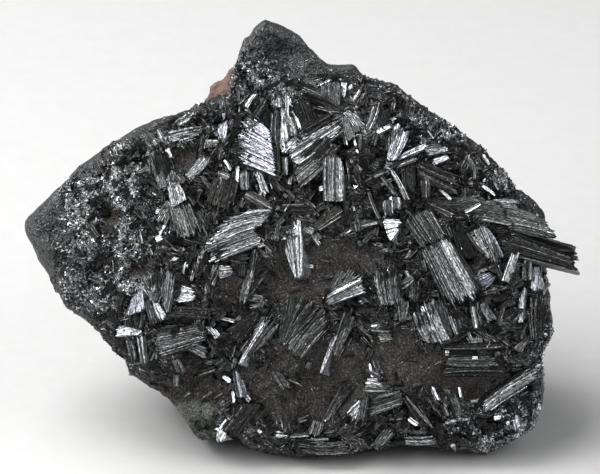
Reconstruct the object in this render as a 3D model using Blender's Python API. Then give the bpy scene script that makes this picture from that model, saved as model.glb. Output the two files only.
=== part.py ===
"""Pyrolusite specimen: a black slab of manganese ore, its face grown over with sprays of flat blades.

The specimen is laid out on its crystal face first. A point there has u to the right, w up the face and
d into the ore, all in millimetres. The face then leans back, the ore is cut flat where it rests, and
everything is turned into metres with +Z up.
"""

import math
import random

import bmesh
import bpy
from mathutils import Matrix, Vector, noise
from mathutils.bvhtree import BVHTree

MM = 0.001
LEAN_BACK = math.radians(25.0)  # how far the crystal face leans away from upright
FRONT_BULGE = 11.0  # mm from the rim plane to the front of the face
BACK_BULGE = 27.0  # mm from the rim plane to the back of the ore
FACE_FLATNESS = 0.55  # low values make a flat face with a quick turn at its rim
BACK_FLATNESS = 0.85
FACE_FULLNESS = 0.72  # low values keep the ore thick close to its rim
BACK_FULLNESS = 0.95
ROUNDING = 28  # degrees of outline over which its corners are evened out, away from the rim
MIDDLE = (0.0, 34.2)  # u, w of the point from which the outline is measured
ORE_FACETS = 3200
LUMP_SIZE = 13.0  # mm across one lump of ore
LEDGE_SIZE = 5.5  # mm across one small ledge
BREAK_SIZE = 9.0  # mm across one broken step of the back
LUMP_HEIGHT = 1.6  # mm, on the face; the back's lumps and ledges are higher
LEDGE_HEIGHT = 1.2
BREAK_HEIGHT = 2.0
GAP = 0.4  # mm between the ore and the host rock, along the surface's normals
BLADE_PITCH = 1.5  # mm across one blade of a spray
BLADE_THICKNESS = 1.5  # mm
TIP_THINNING = 0.8  # a blade's thickness at its ends, against BLADE_THICKNESS
ROOT_THICKENING = 1.4
BLADE_OVERLAP = 1.12  # each blade's width, against its share of the spray
SHORTEST_BLADE = -0.16  # change of length at most, against the spray's length
LONGEST_BLADE = 0.02
BLADE_STAGGER = 0.35  # mm that a blade stands above or below its neighbours
BLADE_TWIST = 0.22  # sideways lean of a blade, as a slope
STEEPEST_RISE = 6.0  # mm that a spray's tip may stand in front of its root
DEEPEST_DIP = 2.0  # mm that it may lie behind its root
ROOT_DEPTH = 0.5  # mm that a spray's root reaches into the ore
STAND_OFF_SCALE = 1.5
SLABS = {"shelf": 3.6, "shelf_lip": 2.2, "corner_block": 3.2}  # thick sprays: thickness in mm
SLAB_PITCH = 2.4  # mm across one blade of a thick spray
SEED = 11

# The ore's outline on its face, in mm, from the peak and then clockwise.
ORE_OUTLINE = (
    (-6.0, 72.5), (-4.2, 72.0), (-3.0, 71.5), (0.0, 69.8), (1.3, 68.2), (3.2, 66.0), (4.8, 64.8),
    (8.8, 65.0), (10.7, 62.7), (16.0, 61.5), (17.8, 59.8), (22.0, 56.7), (27.2, 53.2), (30.7, 50.7),
    (34.5, 46.2), (36.3, 44.0), (39.0, 42.3), (40.2, 40.5), (40.5, 38.5), (41.0, 30.0), (41.3, 25.5),
    (42.0, 20.7), (39.8, 16.2), (40.5, 14.0), (40.2, 8.0), (38.8, 4.5), (35.0, 2.2), (31.2, 0.3),
    (25.5, 1.0), (17.8, 2.0), (10.5, 1.0), (7.7, 0.2), (0.0, 0.0), (-5.3, 0.5), (-9.2, 1.8),
    (-10.7, 3.3), (-15.7, 3.0), (-16.8, 2.8), (-19.5, 6.5), (-22.0, 9.8), (-26.2, 12.5), (-28.3, 13.7),
    (-29.0, 16.3), (-30.8, 17.5), (-34.0, 21.7), (-38.5, 24.5), (-40.8, 28.3), (-43.3, 32.2),
    (-45.5, 36.3), (-46.0, 37.8), (-45.8, 39.2), (-43.7, 41.3), (-39.2, 45.5), (-36.7, 48.2),
    (-32.2, 51.3), (-27.0, 54.5), (-24.5, 55.5), (-18.2, 57.3), (-15.5, 59.0), (-13.0, 59.7),
    (-10.8, 60.8), (-10.7, 64.3), (-10.3, 66.3), (-9.3, 69.5), (-8.3, 69.7), (-7.7, 71.3),
)

# Hollows and swellings of the face: u, w, radius and height in mm. A hollow has a height below zero.
FACE_RELIEF = (
    (3.0, 12.0, 9.0, -2.4),
    (1.0, 31.0, 4.5, -1.6),
    (-17.0, 11.0, 6.0, -2.2),
    (25.0, 13.5, 7.0, -2.0),
    (26.0, 33.5, 2.2, -3.2),
    (-3.0, 66.0, 7.0, -5.5),
    (8.0, 61.0, 4.0, -1.5),
    (-36.0, 38.0, 9.0, -2.5),
    (33.0, 36.0, 6.0, 1.5),
    (8.0, 50.0, 10.0, 1.2),
    (-22.0, 24.0, 7.0, 1.6),
)

# The main sprays: root, tip, width at the root, width at the tip and how far the tip stands off, in mm.
SPRAYS = {
    "silver_lozenge": ((-3.7, 49.5), (-9.8, 53.3), 7.3, 6.3, 1.6),
    "black_ridge": ((-3.5, 46.2), (-5.3, 59.5), 1.5, 1.3, 2.2),
    "left_crown": ((-7.3, 55.2), (-5.3, 59.7), 2.6, 2.6, 1.4),
    "bright_column": ((-2.3, 51.5), (-3.7, 59.5), 1.8, 2.2, 1.8),
    "black_crown": ((2.3, 53.7), (-0.5, 60.2), 2.6, 3.0, 1.6),
    "dark_top_sheaf": ((7.2, 57.8), (-0.3, 60.5), 3.5, 2.5, 1.6),
    "white_bud": ((6.8, 59.7), (8.2, 61.8), 1.4, 2.0, 1.4),
    "bud_blade": ((7.7, 58.0), (9.8, 60.7), 1.2, 1.5, 1.2),
    "long_sheaf": ((-2.3, 49.0), (6.7, 53.7), 3.6, 4.6, 1.8),
    "upright_sheaf": ((6.0, 42.5), (5.5, 49.2), 3.4, 3.0, 1.2),
    "pair_left": ((11.0, 53.3), (8.3, 57.0), 1.6, 1.8, 1.2),
    "pair_right": ((11.0, 53.7), (13.0, 58.8), 1.4, 1.7, 1.3),
    "bright_fan": ((14.8, 49.2), (16.8, 54.0), 1.6, 3.8, 1.6),
    "three_blades": ((15.7, 48.0), (24.3, 51.2), 1.4, 2.8, 1.6),
    "brown_blade": ((19.7, 48.8), (27.0, 45.3), 2.5, 3.0, 1.2),
    "crossed_left": ((-20.5, 42.5), (-24.2, 50.5), 1.8, 3.0, 1.6),
    "crossed_right": ((-20.0, 42.5), (-21.7, 50.2), 1.5, 2.2, 1.4),
    "crossed_lower": ((-21.3, 44.2), (-19.0, 37.2), 2.2, 4.5, 1.6),
    "shoulder_sheaf": ((-15.3, 48.8), (-18.5, 46.2), 2.2, 2.2, 1.2),
    "brown_fan": ((-11.5, 46.2), (-14.3, 41.5), 4.0, 5.0, 1.2),
    "short_column": ((-9.0, 48.3), (-8.8, 44.2), 2.0, 2.2, 1.2),
    "thin_column": ((-6.8, 47.3), (-6.0, 43.0), 1.4, 1.6, 1.2),
    "dark_tongue": ((-9.5, 42.7), (-4.5, 41.3), 1.8, 2.4, 1.0),
    "silver_wing": ((-5.0, 39.8), (-15.3, 35.7), 2.2, 3.4, 2.0),
    "grey_wing": ((-6.7, 35.8), (-15.2, 34.2), 4.0, 2.6, 1.0),
    "white_tooth": ((-0.2, 29.8), (-0.7, 38.8), 2.0, 2.4, 2.2),
    "steep_pair": ((13.0, 47.2), (16.7, 41.3), 1.4, 2.4, 1.4),
    "white_chip": ((15.5, 35.7), (15.0, 39.2), 1.4, 3.0, 1.4),
    "dark_bar": ((-3.2, 41.3), (3.3, 43.2), 1.6, 2.0, 1.0),
    "grey_bar": ((-0.3, 38.2), (4.7, 40.0), 1.4, 2.0, 1.0),
    "great_fan": ((20.2, 38.2), (27.7, 26.3), 5.0, 6.6, 2.2),
    "great_fan_flank": ((18.7, 35.8), (23.0, 26.0), 3.0, 3.6, 1.2),
    "blue_fan": ((28.3, 37.5), (33.3, 31.8), 3.0, 3.6, 1.6),
    "chevron": ((30.7, 42.3), (26.3, 41.0), 1.8, 2.2, 1.2),
    "pale_block": ((32.3, 40.5), (36.3, 41.8), 1.8, 2.0, 1.0),
    "shelf_lip": ((25.0, 38.8), (42.4, 36.6), 2.6, 1.4, 1.2),
    "shelf": ((30.3, 36.2), (46.9, 31.7), 6.0, 3.4, 0.0),
    "right_edge_blade": ((40.2, 28.5), (38.8, 32.2), 2.0, 1.6, 1.2),
    "lilac_fan": ((23.3, 19.0), (21.2, 25.8), 5.2, 5.0, 1.8),
    "blue_block": ((29.3, 28.5), (32.0, 30.3), 1.8, 1.8, 1.2),
    "grey_fan": ((15.2, 25.5), (13.7, 30.3), 2.4, 3.4, 1.4),
    "small_grey_fan": ((19.0, 25.7), (18.7, 29.3), 1.4, 1.8, 1.0),
    "side_fan": ((10.7, 21.3), (15.2, 21.3), 1.4, 3.4, 1.2),
    "bright_post": ((28.8, 21.2), (28.5, 25.5), 1.5, 1.4, 1.4),
    "post_fan": ((32.7, 22.2), (29.3, 24.5), 2.0, 2.2, 1.0),
    "oval_fan": ((-3.0, 19.2), (1.0, 27.8), 2.0, 5.5, 1.6),
    "under_sheaf": ((-2.7, 18.0), (5.2, 24.0), 3.0, 2.4, 1.0),
    "needle_right": ((3.5, 14.0), (8.5, 25.3), 1.0, 1.8, 1.4),
    "needle_left": ((-10.2, 15.3), (-5.0, 24.0), 0.9, 1.8, 1.4),
    "bright_sheaf": ((4.0, 25.2), (10.5, 28.7), 1.6, 3.2, 1.6),
    "left_sheaf": ((-12.3, 20.7), (-7.2, 23.8), 1.8, 2.6, 1.2),
    "olive_blade": ((-22.5, 23.8), (-23.7, 30.2), 3.0, 5.2, 1.8),
    "lilac_patch": ((-28.5, 24.0), (-25.7, 27.2), 1.6, 2.0, 1.2),
    "small_white_fan": ((-21.3, 26.3), (-17.5, 27.2), 2.0, 2.6, 1.4),
    "grey_great_fan": ((-23.3, 19.5), (-15.8, 20.7), 4.2, 2.8, 1.6),
    "three_points": ((-19.3, 19.0), (-15.0, 16.7), 1.4, 2.6, 1.2),
    "white_bar": ((-26.3, 20.3), (-30.8, 20.5), 1.4, 1.6, 1.2),
    "hanging_blades": ((-26.5, 20.0), (-25.3, 14.3), 1.4, 1.8, 1.2),
    "brown_sheaf": ((-20.8, 24.3), (-13.5, 23.2), 2.4, 2.2, 1.0),
    "corner_block": ((-7.7, 8.8), (-12.7, 3.2), 3.4, 3.2, 1.0),
    "lilac_post": ((-10.0, 9.5), (-11.0, 14.5), 1.2, 1.4, 1.2),
    "pit_fan": ((-4.2, 14.0), (-2.0, 11.7), 1.4, 2.4, 0.8),
    "slanting_sheaf": ((1.8, 3.5), (8.2, 11.8), 1.6, 2.2, 1.4),
    "foot_slab": ((8.3, 1.6), (-0.3, 1.6), 1.5, 1.6, 0.8),
    "foot_fan": ((17.0, 10.7), (11.2, 11.5), 1.4, 2.4, 1.2),
    "foot_block": ((16.7, 9.7), (11.0, 8.2), 1.8, 3.2, 1.2),
    "foot_streaks": ((10.3, 10.2), (8.7, 6.3), 1.0, 2.0, 1.0),
    "small_post": ((26.3, 7.3), (24.8, 10.8), 1.5, 1.6, 1.0),
    "corner_sheaf": ((30.7, 8.0), (40.0, 13.8), 1.8, 2.8, 1.0),
}

# Where the face carries a crust of short, blocky crystals: u, w, half width, half height in mm, and how
# many crystals stand out of it.
CRUST = (
    (-34.0, 38.0, 8.0, 8.0, 26),
    (-27.0, 46.0, 7.0, 6.0, 18),
    (-3.0, 64.0, 4.0, 4.0, 7),
    (26.0, 53.0, 9.0, 3.0, 9),
    (33.0, 5.5, 4.5, 3.5, 10),
    (36.0, 24.0, 3.5, 6.0, 9),
)
CRUST_CRYSTAL = 1.9  # mm across a crystal of the crust

HOST_ROCK_CENTRE = (-11.0, 9.0, 56.5)  # u, d, w in mm
HOST_ROCK_RADII = (6.5, 7.0, 7.6)  # mm along u, d and w


def clear_scene():
    for thing in list(bpy.data.objects):
        bpy.data.objects.remove(thing, do_unlink=True)


def new_collection(name):
    collection = bpy.data.collections.new(name)
    bpy.context.scene.collection.children.link(collection)
    return collection


def new_material(name, colour, roughness, metallic):
    material = bpy.data.materials.new(name)
    material.use_nodes = True
    shader = material.node_tree.nodes["Principled BSDF"]
    shader.inputs["Base Color"].default_value = (*colour, 1.0)
    shader.inputs["Roughness"].default_value = roughness
    shader.inputs["Metallic"].default_value = metallic
    return material


def object_from_bmesh(name, shape, collection):
    mesh = bpy.data.meshes.new(name)
    shape.to_mesh(mesh)
    shape.free()
    thing = bpy.data.objects.new(name, mesh)
    collection.objects.link(thing)
    return thing


def outline_reach(angle):
    """Distance in mm from MIDDLE to the outline, in a direction measured from +u towards +w."""
    direction = Vector((math.cos(angle), math.sin(angle)))
    middle = Vector(MIDDLE)
    reach = 0.0
    for index, corner in enumerate(ORE_OUTLINE):
        start = Vector(corner) - middle
        side = Vector(ORE_OUTLINE[(index + 1) % len(ORE_OUTLINE)]) - middle - start
        across = direction.x * side.y - direction.y * side.x
        if across == 0.0:
            continue
        along_side = (start.x * direction.y - start.y * direction.x) / across
        distance = (start.x * side.y - start.y * side.x) / across
        if 0.0 <= along_side <= 1.0 and distance > 0.0:
            reach = max(reach, distance)
    return reach


def relief_at(u, w):
    height = 0.0
    for at_u, at_w, radius, rise in FACE_RELIEF:
        far = ((u - at_u) ** 2 + (w - at_w) ** 2) / radius**2
        height += rise * math.exp(-far)
    return height


def evened_out(reaches):
    """The same reaches, each the mean of its neighbours over ROUNDING degrees."""
    span = round(ROUNDING / 360.0 * len(reaches))
    count = len(reaches)
    return [
        sum(reaches[(step + shift) % count] for shift in range(-span, span + 1)) / (2 * span + 1)
        for step in range(count)
    ]


def between(values, angle):
    """The value at an angle, from values spaced evenly round a full turn."""
    step = (angle % math.tau) / math.tau * len(values)
    low = int(step) % len(values)
    high = (low + 1) % len(values)
    return values[low] + (values[high] - values[low]) * (step - int(step))


def ore_point(direction, reaches, even_reaches):
    """Moves a point of a unit ball to the ore's surface, as u, d, w in mm."""
    inward = min(1.0, math.hypot(direction.x, direction.z))
    angle = math.atan2(direction.z, direction.x)
    facing = abs(direction.y)
    in_front = direction.y < 0.0
    evenness = 0.6 * facing if in_front else min(1.0, 1.7 * facing)
    reach = between(reaches, angle) * (1.0 - evenness) + between(even_reaches, angle) * evenness
    reach *= inward ** (FACE_FULLNESS if in_front else BACK_FULLNESS)
    u = MIDDLE[0] + reach * math.cos(angle)
    w = MIDDLE[1] + reach * math.sin(angle)
    lumps = noise.noise(Vector((u, direction.y * BACK_BULGE, w)) / LUMP_SIZE)
    ledges = noise.noise(Vector((u, direction.y * BACK_BULGE + 40.0, w)) / LEDGE_SIZE)
    if in_front:
        fade = min(1.0, 2.5 * facing)  # leaves the rim on its outline
        d = -FRONT_BULGE * facing**FACE_FLATNESS - relief_at(u, w) * fade
        d -= (LUMP_HEIGHT * lumps + LEDGE_HEIGHT * ledges) * fade
    else:
        fade = facing**0.6
        steps = noise.cell(Vector((u, w, direction.y * BACK_BULGE)) / BREAK_SIZE) - 0.5
        d = BACK_BULGE * facing**BACK_FLATNESS
        d += (3.5 * LUMP_HEIGHT * lumps + 2.0 * LEDGE_HEIGHT * ledges + BREAK_HEIGHT * steps) * fade
        u += LUMP_HEIGHT * 1.8 * lumps * facing * math.cos(angle)
        w += LUMP_HEIGHT * 1.8 * lumps * facing * math.sin(angle)
    return Vector((u, d, w))


def lean_back():
    """Turns u, d, w in mm into metres with the face leaning back."""
    return Matrix.Scale(MM, 4) @ Matrix.Rotation(-LEAN_BACK, 4, "X")


def make_ore(collection):
    samples = 720
    reaches = [outline_reach(math.tau * step / samples) for step in range(samples)]
    even_reaches = evened_out(reaches)
    shape = bmesh.new()
    bmesh.ops.create_icosphere(shape, subdivisions=6, radius=1.0)
    for vertex in shape.verts:
        vertex.co = ore_point(vertex.co, reaches, even_reaches)
    facets = len(shape.faces)
    ore = object_from_bmesh("ore_body", shape, collection)
    thinner = ore.modifiers.new("fewer_facets", "DECIMATE")
    thinner.ratio = ORE_FACETS / facets
    graph = bpy.context.evaluated_depsgraph_get()
    fewer = bpy.data.meshes.new_from_object(ore.evaluated_get(graph))
    ore.modifiers.remove(thinner)
    full = ore.data
    ore.data = fewer
    bpy.data.meshes.remove(full)
    return ore


def surface_depth(tree, u, w):
    """Depth in mm of the face under the point u, w, seen from the front."""
    in_front = Vector((u, -5.0 * FRONT_BULGE, w))
    hit = tree.ray_cast(in_front, Vector((0.0, 1.0, 0.0)))[0]
    return hit.y if hit else 0.0


def add_blade(shape, root, tip, across, widths, thickness):
    """One flat blade, from a cube whose corners move to the blade's ends."""
    root_width, tip_width = widths
    along = (tip - root).normalized()
    outward = along.cross(across).normalized()
    if outward.y > 0.0:
        outward.negate()
    corners = bmesh.ops.create_cube(shape, size=1.0)["verts"]
    for corner in corners:
        at_tip = corner.co.x > 0.0
        end = tip if at_tip else root
        width = tip_width if at_tip else root_width
        deep = thickness * (TIP_THINNING if at_tip else ROOT_THICKENING)
        height = 0.0 if corner.co.z > 0.0 else -deep
        corner.co = end + across * (corner.co.y * width) + outward * height


def add_spray(shape, tree, chance, name):
    """A fan of blades side by side, each a little longer or shorter and turned than the next."""
    root_at, tip_at, root_width, tip_width, stand_off = SPRAYS[name]
    stand_off *= STAND_OFF_SCALE
    pitch = SLAB_PITCH if name in SLABS else BLADE_PITCH
    thickness = SLABS.get(name, BLADE_THICKNESS)
    root = Vector((root_at[0], surface_depth(tree, *root_at) + ROOT_DEPTH, root_at[1]))
    tip = Vector((tip_at[0], surface_depth(tree, *tip_at) - stand_off, tip_at[1]))
    tip.y = min(max(tip.y, root.y - STEEPEST_RISE), root.y + DEEPEST_DIP)
    along = (tip - root).normalized()
    across = Vector((0.0, 1.0, 0.0)).cross(along).normalized()
    count = max(1, round(max(root_width, tip_width) / pitch))
    for blade in range(count):
        place = (blade + 0.5) / count - 0.5
        shortest = SHORTEST_BLADE * (0.3 if name in SLABS else 1.0)
        longer = (tip - root).length * chance.uniform(shortest, LONGEST_BLADE)
        lift = Vector((0.0, chance.uniform(-BLADE_STAGGER, BLADE_STAGGER), 0.0))
        twist = Vector((0.0, chance.uniform(-BLADE_TWIST, BLADE_TWIST), 0.0))
        blade_root = root + across * (place * root_width) + lift
        blade_tip = tip + across * (place * tip_width) + along * longer + lift
        widths = (BLADE_OVERLAP * root_width / count, BLADE_OVERLAP * tip_width / count)
        add_blade(shape, blade_root, blade_tip, (across + twist).normalized(), widths, thickness)


def add_crust(shape, tree, chance):
    """Blocky crystals that stand out of the crust, each a turned and stretched cube."""
    for middle_u, middle_w, half_width, half_height, count in CRUST:
        for crystal in range(count):
            way = chance.uniform(0.0, math.tau)
            far = math.sqrt(chance.random())
            u = middle_u + half_width * far * math.cos(way)
            w = middle_w + half_height * far * math.sin(way)
            place = Matrix.Translation((u, surface_depth(tree, u, w), w))
            turn = Matrix.Rotation(chance.uniform(0.0, math.tau), 4, chance.choice("XYZ"))
            tip = Matrix.Rotation(chance.uniform(0.3, 1.2), 4, chance.choice("XZ"))
            size = CRUST_CRYSTAL * chance.uniform(0.7, 1.3)
            stretch = Matrix.Diagonal((size, size * chance.uniform(0.6, 1.0), size, 1.0))
            bmesh.ops.create_cube(shape, size=1.0, matrix=place @ turn @ tip @ stretch)


def make_sprays(ore, collection):
    chance = random.Random(SEED)
    graph = bpy.context.evaluated_depsgraph_get()
    tree = BVHTree.FromObject(ore, graph)
    shape = bmesh.new()
    for name in SPRAYS:
        add_spray(shape, tree, chance, name)
    add_crust(shape, tree, chance)
    bmesh.ops.recalc_face_normals(shape, faces=shape.faces)
    return object_from_bmesh("sprays", shape, collection)


def make_host_rock(collection, name, swell):
    """The lump of host rock. Its pocket in the ore is the same lump, larger by swell mm all round."""
    shape = bmesh.new()
    bmesh.ops.create_icosphere(shape, subdivisions=3, radius=1.0)
    for vertex in shape.verts:
        direction = vertex.co.normalized()
        rough = 1.0 + 0.16 * noise.noise(direction * 1.7) + 0.08 * noise.noise(direction * 4.0)
        at = [
            centre + part * radius * rough
            for centre, part, radius in zip(HOST_ROCK_CENTRE, direction, HOST_ROCK_RADII)
        ]
        vertex.co = Vector(at)
    shape.normal_update()
    if swell:
        moved = {vertex: vertex.co + vertex.normal * swell for vertex in shape.verts}
        for vertex, place in moved.items():
            vertex.co = place
    return object_from_bmesh(name, shape, collection)


def make_ground(collection):
    """Everything under the plane that the specimen rests on."""
    shape = bmesh.new()
    side = 0.3
    bmesh.ops.create_cube(shape, size=side)
    bmesh.ops.translate(shape, verts=shape.verts, vec=(0.0, 0.0, -side / 2.0))
    return object_from_bmesh("ground", shape, collection)


def add_boolean(thing, operation, other):
    modifier = thing.modifiers.new(other.name, "BOOLEAN")
    modifier.operation = operation
    modifier.solver = "EXACT"
    modifier.object = other
    return modifier


def hide_helper(thing):
    thing.hide_render = True
    thing.display_type = "WIRE"


def shell_of(start):
    """All faces that join the first one, over edges that two faces share."""
    found = {start}
    waiting = [start]
    while waiting:
        for edge in waiting.pop().edges:
            for face in edge.link_faces if len(edge.link_faces) == 2 else ():
                if face not in found:
                    found.add(face)
                    waiting.append(face)
    return found


def volume_inside(faces):
    total = 0.0
    for face in faces:
        corners = [loop.vert.co for loop in face.loops]
        for second, third in zip(corners[1:], corners[2:]):
            total += corners[0].dot(second.cross(third)) / 6.0
    return total


def join_into_one_body(thing):
    """Applies the modifiers, fills the small voids under crossing blades and drops loose chips."""
    graph = bpy.context.evaluated_depsgraph_get()
    joined = bpy.data.meshes.new_from_object(thing.evaluated_get(graph))
    thing.modifiers.clear()
    shape = bmesh.new()
    shape.from_mesh(joined)
    bmesh.ops.triangulate(shape, faces=shape.faces)
    left = set(shape.faces)
    shells = []
    while left:
        shell = shell_of(next(iter(left)))
        left -= shell
        shells.append(shell)
    shells.sort(key=volume_inside)
    for shell in shells[:-1]:
        bmesh.ops.delete(shape, geom=list(shell), context="FACES")
    shape.to_mesh(joined)
    shape.free()
    thing.data = joined


def centre_on_base(things, nodes):
    """Moves everything so that the middle of the nodes' box stands over the origin."""
    bpy.context.view_layer.update()
    graph = bpy.context.evaluated_depsgraph_get()
    corners = []
    for node in nodes:
        mesh = node.evaluated_get(graph).to_mesh()
        corners.extend(node.matrix_world @ vertex.co for vertex in mesh.vertices)
    middle_x = (min(p.x for p in corners) + max(p.x for p in corners)) / 2.0
    middle_y = (min(p.y for p in corners) + max(p.y for p in corners)) / 2.0
    for thing in things:
        thing.data.transform(Matrix.Translation((-middle_x, -middle_y, 0.0)))


def main():
    clear_scene()
    specimen = new_collection("pyrolusite_specimen")
    helpers = new_collection("helpers")
    ore = make_ore(specimen)
    sprays = make_sprays(ore, helpers)
    host_rock = make_host_rock(specimen, "host_rock", 0.0)
    pocket = make_host_rock(helpers, "host_rock_pocket", GAP)
    for thing in (ore, sprays, host_rock, pocket):
        thing.data.transform(lean_back())
    ground = make_ground(helpers)
    add_boolean(ore, "UNION", sprays).use_self = True
    add_boolean(ore, "DIFFERENCE", ground)
    add_boolean(ore, "DIFFERENCE", pocket)
    join_into_one_body(ore)
    for helper in (sprays, pocket, ground):
        hide_helper(helper)
    centre_on_base((ore, sprays, host_rock, pocket), (ore, host_rock))
    ore.data.materials.append(new_material("black_ore", (0.035, 0.035, 0.037), 0.45, 0.6))
    host_rock.data.materials.append(new_material("red_host_rock", (0.20, 0.10, 0.085), 0.9, 0.0))


main()
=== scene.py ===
# %% [markdown]
# # Pyrolusite specimen
# A black slab of manganese ore leans back on a pale table. Its face is grown over with sprays of flat
# metallic blades, between them lies sooty or glittering ore, and a lump of reddish host rock shows behind
# its upper left edge. This lesson builds the ore, the blades, the crust and the host rock one by one, and
# then lights them.
#
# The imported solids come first: they say how large everything is, and the new pieces stand in for them.

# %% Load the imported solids
import math
import random

import bpy
import numpy as np
from mathutils import Matrix, Vector, noise
from mathutils.bvhtree import BVHTree


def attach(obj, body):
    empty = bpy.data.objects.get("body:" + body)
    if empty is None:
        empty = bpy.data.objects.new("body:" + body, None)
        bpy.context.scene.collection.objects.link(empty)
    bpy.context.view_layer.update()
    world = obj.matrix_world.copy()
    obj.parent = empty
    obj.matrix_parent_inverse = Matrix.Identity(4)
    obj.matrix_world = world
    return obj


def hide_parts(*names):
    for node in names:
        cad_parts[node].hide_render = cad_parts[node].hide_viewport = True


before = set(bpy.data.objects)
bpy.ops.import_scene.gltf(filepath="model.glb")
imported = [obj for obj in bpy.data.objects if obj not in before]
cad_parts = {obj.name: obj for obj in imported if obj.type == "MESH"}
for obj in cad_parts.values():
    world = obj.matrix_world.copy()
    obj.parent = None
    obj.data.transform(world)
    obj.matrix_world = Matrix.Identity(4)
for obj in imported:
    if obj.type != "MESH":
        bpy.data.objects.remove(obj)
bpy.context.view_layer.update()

print("solids:", sorted(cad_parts))

# %% [markdown]
# ## Measuring on the crystal face
# The specimen is easiest to lay out on its face, as one would draw it on paper: u runs to the right, w up
# the face and d into the ore, all in millimetres. One matrix then leans the face back and turns it into
# metres, so every piece is modelled in face millimetres and moved once at the end.

# %% Face millimetres to metres
MM = 0.001  # metres
LEAN_BACK = math.radians(25.0)  # how far the crystal face leans away from upright
BOX_MIDDLE = (0.6503, 18.9325)  # mm, the middle of the specimen's box before it moves over the origin
FACE_TO_WORLD = (
    Matrix.Translation((-BOX_MIDDLE[0] * MM, -BOX_MIDDLE[1] * MM, 0.0))
    @ Matrix.Scale(MM, 4)
    @ Matrix.Rotation(-LEAN_BACK, 4, "X")
)
print("face origin in metres:", [round(value, 4) for value in FACE_TO_WORLD.translation])


# %% [markdown]
# ## Camera
# The face is seen square on, through a long lens that hardly narrows towards the back. The distance makes
# the picture 100 mm wide in the plane of the outline.

# %% Camera square to the face
PICTURE_WIDTH = 100.0  # mm across the picture, in the plane of the ore's outline
PICTURE_MIDDLE = (0.0, 36.33)  # u, w of the picture's centre, in mm
LENS = 500.0  # mm
SENSOR = 36.0  # mm
bpy.ops.object.camera_add()
camera = bpy.context.object
camera.name = "camera"
camera.data.lens = LENS
camera.data.sensor_width = SENSOR
camera_distance = PICTURE_WIDTH * LENS / SENSOR
camera.location = FACE_TO_WORLD @ Vector((PICTURE_MIDDLE[0], -camera_distance, PICTURE_MIDDLE[1]))
camera.rotation_euler = (math.radians(90.0) - LEAN_BACK, 0.0, 0.0)
camera.data.clip_start = 0.01  # metres
camera.data.clip_end = 20.0
bpy.context.scene.camera = camera
print("camera at", [round(value, 3) for value in camera.location])

# %% [markdown]
# ## Table
# The background is a large pale sheet. One plane is enough for it, since it reaches far beyond the
# picture, and it lies flat so that the specimen can be seen from behind as well.

# %% Pale sheet
SHEET_SIZE = 8.0  # metres


def start_alone():
    """Leaves edit mode and deselects everything, so that the next operator sees only its own piece."""
    if bpy.context.mode != "OBJECT":
        bpy.ops.object.mode_set(mode="OBJECT")
    bpy.ops.object.select_all(action="DESELECT")


start_alone()
bpy.ops.mesh.primitive_plane_add(size=SHEET_SIZE, location=(0.0, 0.0, 0.0))
sheet = bpy.context.object
sheet.name = "table_sheet"
print("sheet faces:", len(sheet.data.polygons))

# %% [markdown]
# ## Helpers for node materials
# Each finish is a small tree of nodes. Two helpers keep the lines short: one adds a node with its values,
# the other joins two sockets. The rest add what the finishes here share, such as noise of a given size.


# %% Node helpers
def new_material(name):
    """A material with one Principled shader, returned with its node tree."""
    material = bpy.data.materials.new(name)
    material.use_nodes = True
    return material, material.node_tree, material.node_tree.nodes["Principled BSDF"]


def add_node(tree, kind, inputs=None, **settings):
    made = tree.nodes.new("ShaderNode" + kind)
    for setting, value in settings.items():
        setattr(made, setting, value)
    for socket, value in (inputs or {}).items():
        made.inputs[socket].default_value = value
    return made


def join(tree, start, start_socket, end, end_socket):
    tree.links.new(start.outputs[start_socket], end.inputs[end_socket])


def add_noise(tree, coords, size_mm, detail=3.0, roughness=0.55):
    """Soft noise whose patches are about size_mm across."""
    scale = 1.0 / (size_mm * MM)
    made = add_node(tree, "TexNoise", {"Scale": scale, "Detail": detail, "Roughness": roughness})
    join(tree, coords, "Object", made, "Vector")
    return made


def add_cells(tree, coords, size_mm):
    """Cells about size_mm across, each with its own random colour."""
    made = add_node(tree, "TexVoronoi", {"Scale": 1.0 / (size_mm * MM)})
    join(tree, coords, "Object", made, "Vector")
    return made


def add_ramp(tree, source, socket, stops):
    """A colour ramp from a list of (position, grey value or colour)."""
    made = add_node(tree, "ValToRGB")
    points = made.color_ramp.elements
    while len(points) < len(stops):
        points.new(0.5)
    for point, (position, colour) in zip(points, stops):
        point.position = position
        point.color = (*colour, 1.0) if isinstance(colour, tuple) else (colour, colour, colour, 1.0)
    join(tree, source, socket, made, "Fac")
    return made


SHARE, FIRST, SECOND = 0, 6, 7  # the share and colour inputs of a Mix node
RESULT = 2  # its colour output


def add_mix(tree, share, share_socket, first, first_socket, second, second_socket, blend="MIX"):
    """Mixes two colours by a share that comes from a node, or from a number where share_socket is None."""
    made = add_node(tree, "Mix", data_type="RGBA", blend_type=blend)
    if share_socket is None:
        made.inputs[SHARE].default_value = share
    else:
        join(tree, share, share_socket, made, SHARE)
    join(tree, first, first_socket, made, FIRST)
    join(tree, second, second_socket, made, SECOND)
    return made


# %% Paper of the table
FIBRE_SIZE = 3.0  # mm
paper, tree, shader = new_material("table_paper")
coords = add_node(tree, "TexCoord")
fibres = add_noise(tree, coords, FIBRE_SIZE)
paper_tone = add_ramp(tree, fibres, "Fac", [(0.3, (0.64, 0.64, 0.632)), (0.7, (0.664, 0.664, 0.656))])
join(tree, paper_tone, "Color", shader, "Base Color")
shader.inputs["Roughness"].default_value = 0.9
sheet.data.materials.append(paper)
print("table material:", paper.name)

# %% [markdown]
# ## The ore: a ball that becomes a slab
# The ore is one thick slab with an irregular outline, a bulging front face and a broken back. A ball of
# triangles is a good start, because it has no seam and no edge: each of its points is moved to the
# outline's distance in its own direction. The front of the ball is divided once more, since all the fine
# relief sits there.

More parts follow.
